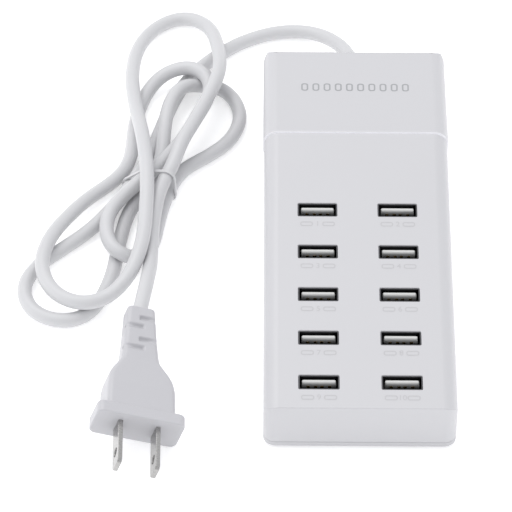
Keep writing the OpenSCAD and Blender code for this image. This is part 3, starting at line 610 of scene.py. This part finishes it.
def relaxed(line, passes, lowest):
    """Rounds the small kinks of a line, with its ends kept and nothing under the floor."""
    for _ in range(passes):
        moved = [line[0], line[1]]
        for number in range(2, len(line) - 2):
            moved.append(line[number] * 0.5 + (line[number - 1] + line[number + 1]) * 0.25)
        line = moved + [line[-2], line[-1]]
    return [Vector((point.x, point.y, max(point.z, lowest))) for point in line]


def cord_line(diameter):
    points = [sleeve_line(8)[-1]]
    points += [Vector(point) * MM for point in CORD_POINTS]
    points += [PLUG_PLACE]
    return relaxed(smooth_line(points, CORD_STEP), CORD_PASSES, diameter / 2)


def line_curve(name, line):
    """Curve data that runs straight from point to point."""
    data = bpy.data.curves.new(name, "CURVE")
    data.dimensions = "3D"
    strand = data.splines.new("POLY")
    strand.points.add(len(line) - 1)
    for place, point in zip(strand.points, line):
        place.co = (*point, 1.0)
    strand.use_smooth = True
    return data


def plug_matrix():
    turn = Matrix.Rotation(PLUG_YAW, 4, "Z") @ Matrix.Rotation(PLUG_ROLL, 4, "Y")
    turn = turn @ Matrix.Rotation(PLUG_PITCH, 4, "X")
    return Matrix.Translation(PLUG_PLACE) @ turn


class FinishSettings(PropertyGroup):
    """Colours and gloss of the charger's plastics."""

    housing_colour: FloatVectorProperty(
        name="Housing colour", description="Colour of the moulded housing",
        subtype="COLOR", size=3, min=0, max=1, default=(0.549, 0.546, 0.564))
    housing_roughness: FloatProperty(
        name="Housing roughness", description="Roughness of the moulded housing",
        min=0.05, max=1, default=0.36)
    cord_colour: FloatVectorProperty(
        name="Cord colour", description="Colour of the cord and its sleeve",
        subtype="COLOR", size=3, min=0, max=1, default=(0.585, 0.585, 0.597))
    cord_roughness: FloatProperty(
        name="Cord roughness", description="Roughness of the cord",
        min=0.05, max=1, default=0.42)
    plug_colour: FloatVectorProperty(
        name="Plug colour", description="Colour of the plug's moulding",
        subtype="COLOR", size=3, min=0, max=1, default=(0.507, 0.503, 0.526))


class HousingSettings(PropertyGroup):
    """Small radii of the housing's edges."""

    edge_radius: FloatProperty(
        name="Edge radius", description="Radius of the housing's sharp moulded edges",
        unit="LENGTH", min=0.0001, max=0.001, default=0.0003)
    base_radius: FloatProperty(
        name="Base edge radius", description="Radius of the base plate's edges",
        unit="LENGTH", min=0.0001, max=0.001, default=0.0003)


class CordSettings(PropertyGroup):
    """Sizes of the cord and its sleeve."""

    diameter: FloatProperty(
        name="Cord diameter", description="Diameter of the mains cord",
        unit="LENGTH", min=0.003, max=0.008, default=0.005)
    ribs: IntProperty(
        name="Sleeve ribs", description="Number of ribs along the sleeve's bend", min=3, max=14, default=4)
    rib_diameter: FloatProperty(
        name="Rib diameter", description="Diameter of the first rib of the sleeve",
        unit="LENGTH", min=0.005, max=0.009, default=0.0070)


class PlugSettings(PropertyGroup):
    """Small radii of the plug."""

    edge_radius: FloatProperty(
        name="Plug edge radius", description="Radius of the plug's moulded edges",
        unit="LENGTH", min=0.0001, max=0.002, default=0.0005)


class StudioSettings(PropertyGroup):
    """Camera and light of the studio."""

    lens: FloatProperty(
        name="Lens", description="Focal length of the camera, in millimetres",
        min=20, max=400, default=240.79)
    roll: FloatProperty(
        name="Roll", description="Roll of the camera", subtype="ANGLE",
        min=-0.1, max=0.1, default=math.radians(0.437))
    key_power: FloatProperty(
        name="Key light", description="Power of the large light over the object, in watts",
        min=0, max=500, default=10.2)
    fill_power: FloatProperty(
        name="Fill light", description="Power of the light at the right, in watts",
        min=0, max=500, default=1.6)
    side_power: FloatProperty(
        name="Side light", description="Power of the light at the left, in watts",
        min=0, max=500, default=2.2)


class CHARGER_OT_housing(Operator):
    """Softens the edges of the housing and its base and gives them their plastic"""

    bl_idname = "charger.housing"
    bl_label = "Build housing"

    def execute(self, context):
        sizes = context.scene.charger_housing
        cuts = (-COLUMN_PITCH / 2, 0, COLUMN_PITCH / 2)
        shell = softened(
            "top_shell", "housing_shell", sizes.edge_radius, cuts=cuts, crisp=head_ledge, hard=True)
        wear(shell, "housing")
        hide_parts("top_shell")
        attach(shell, "root")
        base = softened("base_plate", "housing_base", sizes.base_radius, cuts=cuts)
        wear(base, "base")
        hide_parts("base_plate")
        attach(base, "root")
        return {"FINISHED"}


WORN = {
    "rubber_feet": "feet", "case_screws": "screws", "port_board": "board", "power_board": "board",
    "charge_controllers": "epoxy", "mains_leads": "leads", "output_leads": "leads", "fuse": "fuse",
    "bridge_rectifier": "epoxy", "safety_capacitors": "yellow", "input_choke": "copper",
    "input_capacitors": "can", "transformer_core": "ferrite", "transformer_coil": "tape",
    "switch_transistor": "epoxy", "switch_heat_sink": "sink", "output_diode": "epoxy",
    "output_heat_sink": "sink", "output_capacitors": "can", "optocoupler": "coupler", "cord_tie": "tie",
}


class CHARGER_OT_nodes(Operator):
    """Gives the solids that stay as they are their own finishes"""

    bl_idname = "charger.nodes"
    bl_label = "Finish inner parts and ports"

    def execute(self, context):
        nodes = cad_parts
        for node, name in WORN.items():
            wear(nodes[node], name)
        for number in range(1, 11):
            wear(nodes["usb_shell_%d" % number], "ports")
            wear(nodes["usb_contacts_%d" % number], "contacts")
            tongue = softened(
                "usb_tongue_%d" % number, "port_tongue_%d" % number, TONGUE_EDGE, crisp=tongue_foot(number))
            wear(tongue, "tongues")
            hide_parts("usb_tongue_%d" % number)
            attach(tongue, "root")
        return {"FINISHED"}


class CHARGER_OT_cord(Operator):
    """Lays the mains cord in its tied loops"""

    bl_idname = "charger.cord"
    bl_label = "Lay cord"

    def execute(self, context):
        diameter = context.scene.charger_cord.diameter
        line = cord_line(diameter)
        data = line_curve("mains_cord", line)
        data.bevel_depth = diameter / 2
        data.bevel_resolution = 8
        data.use_fill_caps = True
        piece = linked("mains_cord", data)
        data.materials.append(finish("cord"))
        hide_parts("cord")
        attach(piece, "root")
        on_cord = [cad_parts["cord_tie"]]
        on_cord += [bpy.data.objects[name] for name in ("plug_moulding", "plug_blade_a", "plug_blade_b")]
        return {"FINISHED"}


class CHARGER_OT_sleeve(Operator):
    """Builds the ribbed sleeve that guards the cord at the rear wall"""

    bl_idname = "charger.sleeve"
    bl_label = "Build sleeve"

    def execute(self, context):
        sizes = context.scene.charger_cord
        data = line_curve("sleeve_line", sleeve_line(24))
        piece = linked("cord_guard", data)
        tree = sleeve_tree(finish("sleeve"))
        set_tree(piece, tree, {
            "Ribs": sizes.ribs,
            "Rib radius": sizes.rib_diameter / 2,
            "Tip share": (sizes.diameter / 2 + TIP_OVER_CORD) / (sizes.rib_diameter / 2),
            "Core radius": sizes.diameter / 2 + CORE_OVER_CORD,
        })
        piece = frozen(piece, "cord_guard")
        bpy.data.curves.remove(data)
        piece = joined(piece, turned_collar(COLLAR_OUTLINE))
        wear(piece, "sleeve")
        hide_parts("cord_sleeve")
        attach(piece, "root")
        return {"FINISHED"}


def set_tree(piece, tree, values):
    """Puts a node tree on a piece, with its named inputs set."""
    modifier = piece.modifiers.new(tree.name, "NODES")
    modifier.node_group = tree
    for item in tree.interface.items_tree:
        if item.in_out == "INPUT" and item.name in values:
            modifier[item.identifier] = values[item.name]


def new_tree(name, inputs, output):
    """A node tree with named inputs, given as name, kind and value, and the node that carries them."""
    tree = bpy.data.node_groups.new(name, "GeometryNodeTree")
    for label, kind, value in inputs:
        socket = tree.interface.new_socket(label, in_out="INPUT", socket_type="NodeSocket" + kind)
        if value is not None:
            socket.default_value = value
    tree.interface.new_socket(output, in_out="OUTPUT", socket_type="NodeSocketGeometry")
    return tree, add_node(tree, "NodeGroupInput", {}, {})


def reckoned(tree, operation, first, second):
    """The result of one arithmetic step in a geometry tree."""
    return add_node(tree, "ShaderNodeMath", {"operation": operation}, {0: first, 1: second})[0]


def sleeve_tree(material):
    """Node tree that sets rounded ribs along a line and a core through them."""
    tree, given = new_tree("sleeve ribs", (
        ("Line", "Geometry", None), ("Ribs", "Int", 4), ("Rib radius", "Float", 0.0035),
        ("Tip share", "Float", 0.8), ("Core radius", "Float", 0.0027)), "Sleeve")
    add = partial(add_node, tree)
    first, last = RIBBED_SHARE
    bend = add("GeometryNodeTrimCurve", {"mode": "FACTOR"}, {0: given["Line"], "Start": first, "End": last})
    spots = add("GeometryNodeResampleCurve", {"mode": "COUNT"}, {
        "Curve": bend[0], "Count": given["Ribs"]})
    ring = add("GeometryNodeCurvePrimitiveCircle", {}, {"Resolution": 32, "Radius": 1.0})
    edge = add("GeometryNodeCurvePrimitiveQuadrilateral", {}, {"Width": 0.34, "Height": 0.36})
    round_edge = add("GeometryNodeFilletCurve", {"mode": "POLY"}, {
        "Curve": edge[0], "Count": 3, "Radius": 0.12})
    shrink = add("GeometryNodeTransform", {}, {"Geometry": ring[0], "Scale": (0.83, 0.83, 1.0)})
    rib = add("GeometryNodeCurveToMesh", {}, {"Curve": shrink[0], "Profile Curve": round_edge[0]})
    way = add("GeometryNodeInputTangent", {}, {})
    turn = add("FunctionNodeAlignRotationToVector", {"axis": "Z"}, {"Vector": way[0]})
    along = add("GeometryNodeSplineParameter", {}, {})
    size = add("ShaderNodeMapRange", {}, {
        "Value": along["Factor"], "To Min": 1.0, "To Max": given["Tip share"]})
    set_ribs = add("GeometryNodeInstanceOnPoints", {}, {
        "Points": spots[0], "Instance": rib[0], "Rotation": turn[0],
        "Scale": reckoned(tree, "MULTIPLY", size[0], given["Rib radius"])})
    real = add("GeometryNodeRealizeInstances", {}, {"Geometry": set_ribs[0]})
    hole = add("GeometryNodeCurvePrimitiveCircle", {}, {"Resolution": 32, "Radius": given["Core radius"]})
    core = add("GeometryNodeCurveToMesh", {}, {
        "Curve": given["Line"], "Profile Curve": hole[0], "Fill Caps": True})
    both = add("GeometryNodeJoinGeometry", {}, {"Geometry": core[0]})
    tree.links.new(real[0], both[0].node.inputs[0])
    smooth = add("GeometryNodeSetShadeSmooth", {}, {"Geometry": both[0], "Shade Smooth": True})
    dressed = add("GeometryNodeSetMaterial", {}, {"Geometry": smooth[0], "Material": material})
    add("NodeGroupOutput", {}, {"Sleeve": dressed[0]})
    return tree


def turned_collar(outline):
    """A round solid on the gland's axis, from radius and place pairs in millimetres."""
    shape = bmesh.new()
    rings = []
    for radius, place in outline:
        sides = 48 if radius else 1
        ring = []
        for number in range(sides):
            turn = 2 * math.pi * number / sides
            offset = Vector((radius * math.cos(turn), place, radius * math.sin(turn)))
            ring.append(shape.verts.new(GLAND + offset * MM))
        rings.append(ring)
    skinned(shape, rings)
    collar = meshed("collar", shape)
    collar.data.shade_smooth()
    collar.data.set_sharp_from_angle(angle=math.radians(40))
    return collar


def joined(first, second):
    """Adds the second piece's mesh to the first piece."""
    shape = bmesh.new()
    shape.from_mesh(first.data)
    shape.from_mesh(second.data)
    shape.to_mesh(first.data)
    shape.free()
    spare = second.data
    bpy.data.objects.remove(second)
    bpy.data.meshes.remove(spare)
    return first


def rounded_ring(half_width, half_height, radius):
    """Points round a rectangle with round corners, the same number whatever its size."""

    def at(across, up, degrees):
        turn = math.radians(degrees)
        return Vector((
            across * (half_width - radius) + radius * math.cos(turn),
            up * (half_height - radius) + radius * math.sin(turn)))

    ring = []
    for across, up, start, steps in ((1, 1, 0, 16), (-1, 1, 90, 4), (-1, -1, 180, 16), (1, -1, 270, 4)):
        ring += [at(across, up, start + 11.25 * step) for step in range(9)]
        last = ring[-1]
        after = at(-up, across, start + 90)
        ring += [last.lerp(after, step / steps) for step in range(1, steps)]
    return ring


def eased(keys, place):
    """Values between key rows, whose first number is the place, without overshoot."""
    for at, (low, high) in enumerate(zip(keys, keys[1:])):
        if place > high[0]:
            continue
        span = high[0] - low[0]
        share = min(max((place - low[0]) / span, 0.0), 1.0)
        before = keys[max(at - 1, 0)]
        after = keys[min(at + 2, len(keys) - 1)]
        cube = share ** 3
        square = share ** 2
        values = []
        for number in range(1, len(low)):
            rise = (high[number] - low[number]) / span
            first = slope(before, low, high, number, rise)
            second = slope(low, high, after, number, rise)
            values.append(
                (2 * cube - 3 * square + 1) * low[number] + (cube - 2 * square + share) * span * first
                + (3 * square - 2 * cube) * high[number] + (cube - square) * span * second)
        return values
    return list(keys[-1][1:])


def slope(before, middle, after, number, limit):
    """Slope at a key row, level where the values turn back."""
    first = (middle[number] - before[number]) / max(middle[0] - before[0], 1e-9)
    second = (after[number] - middle[number]) / max(after[0] - middle[0], 1e-9)
    if before is middle or after is middle:
        return limit
    if first * second <= 0:
        return 0.0
    return 2 * first * second / (first + second)


# Half width, half height and corner radius of the plug in millimetres, by the distance from the cord's end
PLUG_FORM = (
    (0.5, 4.7, 3.7, 1.5), (19.0, 6.1, 3.8, 1.6), (22.0, 6.6, 3.95, 1.7), (24.5, 7.9, 4.35, 1.8),
    (27.5, 9.7, 4.9, 1.9), (31.0, 11.0, 5.5, 1.9), (35.0, 11.45, 5.95, 1.8), (43.6, 11.5, 6.0, 1.6))
PLUG_SLEEVE = 22.0
PLUG_LENGTH = 48.0
FIRST_SLOT = 4.7
SLOT_STEP = 3.6
SLOT_PAIR_PITCH = 9.0
SLOT_PAST_MIDDLE = 0.6
# A groove's half width and eased sides, its depth, where it starts to fade out to the side and how fast
SLOT_HALF = 1.1
SLOT_EASE = 0.6
SLOT_DEPTH = 1.1
SLOT_FULL = 2.4
SLOT_FADE = 0.22
SLOT_LEAST = 0.5
# Heights over the plug's middle under which a face has no groove, and that no groove cuts into
SLOT_TOP = 2.2
SLOT_FLOOR = 2.0
FLANGE_START = 43.6
FLANGE_HALF = (14.8, 6.5, 2.2)


def plug_sections(edge):
    """Places along the plug with their half width, half height and corner radius."""
    rows = [(0.0, 0.4, 0.4, 0.3), (0.0, 3.0, 2.4, 1.2)]
    for step in range(4):
        turn = math.radians(30 * step)
        inset = 0.5 * (1 - math.sin(turn))
        rows.append((0.5 - 0.5 * math.cos(turn), 4.7 - inset, 3.7 - inset, 1.5))
    place = 0.5
    while place < FLANGE_START - 0.2:
        place += 0.22 if place < PLUG_SLEEVE else 0.5
        rows.append((min(place, FLANGE_START), *eased(PLUG_FORM, min(place, FLANGE_START))))
    wide, high, corner = FLANGE_HALF
    rows.append((FLANGE_START, 12.6, 6.1, 1.9))
    for start, side, turns in ((FLANGE_START, 1, range(0, 91, 18)), (PLUG_LENGTH, -1, range(90, -1, -18))):
        for degrees in turns:
            turn = math.radians(degrees)
            inset = edge * (1 - math.sin(turn))
            rows.append((start + side * edge * (1 - math.cos(turn)), wide - inset, high - inset, corner))
    rows.append((PLUG_LENGTH, 8.0, 3.0, 1.6))
    rows.append((PLUG_LENGTH, 0.6, 0.6, 0.4))
    return rows


def groove_depth(place, across, high):
    """Depth of the grooves that give the plug's sleeve its bend, in millimetres."""
    if place > PLUG_SLEEVE or high < SLOT_TOP:
        return 0.0
    for number in range(4):
        side = 1 if number % 2 == 0 else -1
        away = abs(place - FIRST_SLOT - (number // 2) * SLOT_PAIR_PITCH - (number % 2) * SLOT_STEP)
        inward = side * across + SLOT_PAST_MIDDLE
        if away < SLOT_HALF and inward > 0:
            edge = min((SLOT_HALF - away) / SLOT_EASE, 1.0)
            return edge * max(SLOT_DEPTH - SLOT_FADE * max(inward - SLOT_FULL, 0.0), SLOT_LEAST)
    return 0.0


def plug_moulding(edge):
    shape = bmesh.new()
    turn = plug_matrix()
    rings = []
    for place, wide, high, corner in plug_sections(edge):
        ring = []
        for across, up in rounded_ring(wide, high, min(corner, wide, high)):
            dip = groove_depth(place, across, abs(up)) if place > 0.3 else 0.0
            up -= math.copysign(min(dip, max(abs(up) - SLOT_FLOOR, 0)), up)
            ring.append(shape.verts.new(turn @ (Vector((across, -place, up)) * MM)))
        rings.append(ring)
    shape.faces.new(rings[0])
    shape.faces.new(rings[-1])
    skinned(shape, rings)
    piece = meshed("plug_moulding", shape)
    piece.data.shade_smooth()
    return flat_faced(piece)


class CHARGER_OT_plug(Operator):
    """Builds the plug's moulding and its two blades"""

    bl_idname = "charger.plug"
    bl_label = "Build plug"

    def execute(self, context):
        sizes = context.scene.charger_plug
        body = plug_moulding(sizes.edge_radius / MM)
        wear(body, "plug")
        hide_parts("plug_body")
        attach(body, "root")
        for node, name in (("plug_blade_left", "plug_blade_a"), ("plug_blade_right", "plug_blade_b")):
            blade = softened(node, name, BLADE_EDGE, 2)
            wear(blade, "blades")
            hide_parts(node)
            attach(blade, "root")
        return {"FINISHED"}


class CHARGER_OT_print(Operator):
    """Prints plain numbers at the ports and a row of marks on the head"""

    bl_idname = "charger.print"
    bl_label = "Print marks"

    def execute(self, context):
        row = linked("head_marks", bpy.data.meshes.new("head_marks"))
        frames = mark_tree(finish("print"))
        set_tree(row, frames, {"Count": 10, "Pitch": 3.9 * MM})
        row = frozen(row, "head_marks")
        row.data.transform(head_matrix(MARKS_PAST_BROW, PRINT_RISE))
        wear(row, "print")
        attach(row, "root")
        for number in range(1, 11):
            mark = linked("port_number_%d" % number, bpy.data.meshes.new("port_number"))
            set_tree(mark, frames, {
                "Count": 2, "Pitch": 7.4 * MM, "Width": 4.2 * MM, "Height": 1.9 * MM, "Stroke": 0.34 * MM})
            mark = frozen(mark, "port_number_%d" % number)
            mark = joined(mark, printed_text(str(number), 2.9 * MM, "port_digit"))
            mark.data.transform(port_matrix(number, LABEL_PAST_PORT, PRINT_RISE))
            wear(mark, "faint")
            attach(mark, "root")
        return {"FINISHED"}


def mark_tree(material):
    """Node tree that sets a row of small rounded frames side by side."""
    tree, given = new_tree("row of marks", (
        ("Count", "Int", 10), ("Pitch", "Float", 0.0039), ("Width", "Float", 0.0024),
        ("Height", "Float", 0.0038), ("Stroke", "Float", 0.0005)), "Row")
    add = partial(add_node, tree)
    both = add("GeometryNodeJoinGeometry", {}, {})
    for inset in (0.0, 2.0):
        cut = reckoned(tree, "MULTIPLY", given["Stroke"], inset)
        sides = {name: reckoned(tree, "SUBTRACT", given[name], cut) for name in ("Width", "Height")}
        frame_line = add("GeometryNodeCurvePrimitiveQuadrilateral", {}, sides)
        least = reckoned(tree, "MINIMUM", sides["Width"], sides["Height"])
        turned = add("GeometryNodeFilletCurve", {"mode": "POLY"}, {
            "Curve": frame_line[0], "Count": 6, "Radius": reckoned(tree, "MULTIPLY", least, 0.38)})
        tree.links.new(turned[0], both[0].node.inputs[0])
    filled = add("GeometryNodeFillCurve", {"mode": "NGONS"}, {"Curve": both[0]})
    half = reckoned(tree, "MULTIPLY", reckoned(tree, "SUBTRACT", given["Count"], 1.0), -0.5)
    first = reckoned(tree, "MULTIPLY", half, given["Pitch"])
    start = add("ShaderNodeCombineXYZ", {}, {"X": first})
    step = add("ShaderNodeCombineXYZ", {}, {"X": given["Pitch"]})
    places = add("GeometryNodeMeshLine", {"mode": "OFFSET"}, {
        "Count": given["Count"], "Start Location": start[0], "Offset": step[0]})
    copies = add("GeometryNodeInstanceOnPoints", {}, {"Points": places[0], "Instance": filled[0]})
    real = add("GeometryNodeRealizeInstances", {}, {"Geometry": copies[0]})
    dressed = add("GeometryNodeSetMaterial", {}, {"Geometry": real[0], "Material": material})
    add("NodeGroupOutput", {}, {"Row": dressed[0]})
    return tree


def printed_text(words, height, name):
    data = bpy.data.curves.new(name, "FONT")
    data.body = words
    data.size = height
    data.align_x = "CENTER"
    data.align_y = "CENTER"
    return frozen(linked(name, data), name)


class CHARGER_OT_studio(Operator):
    """Sets the floor, the soft lights and the camera"""

    bl_idname = "charger.studio"
    bl_label = "Set studio"

    def execute(self, context):
        sizes = context.scene.charger_studio
        shape = bmesh.new()
        bmesh.ops.create_grid(shape, x_segments=8, y_segments=8, size=3.0)
        floor = meshed("studio_floor", shape)
        paper = Finish("studio paper", (0.97, 0.97, 0.97), 0.9)
        fibre = paper.noise(300.0, 3.0)
        paper.rough(0.85 + 0.1 * fibre)
        paper.feed(paper.shader.inputs["Emission Color"], (0.33, 0.33, 0.33, 1.0))
        paper.feed(paper.shader.inputs["Emission Strength"], 1.0)
        floor.data.materials.append(paper.material)

        world = bpy.data.worlds.new("studio air")
        context.scene.world = world
        world.use_nodes = True
        air = world.node_tree.nodes["Background"]
        air.inputs["Color"].default_value = (0.97, 0.98, 1.0, 1.0)
        air.inputs["Strength"].default_value = 0.93
        add_light("key light", (-0.5, 0.55, 1.5), (1.2, 1.2), sizes.key_power, (1.0, 0.99, 0.98))
        add_light("fill light", (1.5, -0.4, 0.5), (0.9, 0.9), sizes.fill_power, (0.97, 0.98, 1.0))
        add_light("side light", (-1.5, -0.1, 0.5), (0.7, 0.9), sizes.side_power, (1.0, 1.0, 1.0))

        data = bpy.data.cameras.new("studio camera")
        data.sensor_width = 36
        data.lens = sizes.lens
        data.clip_start = 0.01
        data.clip_end = 20
        camera = linked("studio camera", data)
        turn = Matrix.Rotation(-CAMERA_AZIMUTH, 4, "Z") @ Matrix.Rotation(math.pi / 2 - CAMERA_TILT, 4, "X")
        turn = turn @ Matrix.Rotation(sizes.roll, 4, "Z")
        back = Matrix.Translation((0, 0, CAMERA_DISTANCE))
        camera.matrix_world = Matrix.Translation(CAMERA_TARGET) @ turn @ back
        context.scene.camera = camera
        context.scene.view_settings.view_transform = "Standard"
        return {"FINISHED"}


def add_light(name, place, size, power, colour):
    data = bpy.data.lights.new(name, "AREA")
    data.shape = "RECTANGLE"
    data.size = size[0]
    data.size_y = size[1]
    data.energy = power
    data.color = colour
    lamp = linked(name, data)
    lamp.location = place
    lamp.rotation_euler = (Vector((-0.03, 0.0, 0.0)) - Vector(place)).to_track_quat("-Z", "Y").to_euler()
    return lamp


class CHARGER_PT_panel(Panel):
    """Lists the charger's steps and sizes"""

    bl_idname = "CHARGER_PT_panel"
    bl_label = "Desktop charger"
    bl_space_type = "VIEW_3D"
    bl_region_type = "UI"
    bl_category = "Charger"

    def draw(self, context):
        scene = context.scene
        for settings, operators in (
            (scene.charger_finishes, ("charger.nodes",)),
            (scene.charger_housing, ("charger.housing", "charger.print")),
            (scene.charger_plug, ("charger.plug",)),
            (scene.charger_cord, ("charger.sleeve", "charger.cord")),
            (scene.charger_studio, ("charger.studio",)),
        ):
            box = self.layout.box()
            for name in settings.bl_rna.properties.keys():
                if name not in ("rna_type", "name"):
                    box.prop(settings, name)
            for operator in operators:
                box.operator(operator)


SETTINGS = {
    "charger_finishes": FinishSettings,
    "charger_housing": HousingSettings,
    "charger_cord": CordSettings,
    "charger_plug": PlugSettings,
    "charger_studio": StudioSettings,
}
CLASSES = (
    *SETTINGS.values(), CHARGER_OT_housing, CHARGER_OT_nodes, CHARGER_OT_plug, CHARGER_OT_cord,
    CHARGER_OT_sleeve, CHARGER_OT_print, CHARGER_OT_studio, CHARGER_PT_panel,
)


def register():
    for kind in CLASSES:
        bpy.utils.register_class(kind)
    for name, kind in SETTINGS.items():
        setattr(bpy.types.Scene, name, PointerProperty(type=kind))


def unregister():
    for name in SETTINGS:
        delattr(bpy.types.Scene, name)
    for kind in reversed(CLASSES):
        bpy.utils.unregister_class(kind)


def main():
    register()
    bpy.ops.charger.studio()
    bpy.ops.charger.housing()
    bpy.ops.charger.nodes()
    bpy.ops.charger.plug()
    bpy.ops.charger.cord()
    bpy.ops.charger.sleeve()
    bpy.ops.charger.print()


if __name__ == "__main__":
    main()
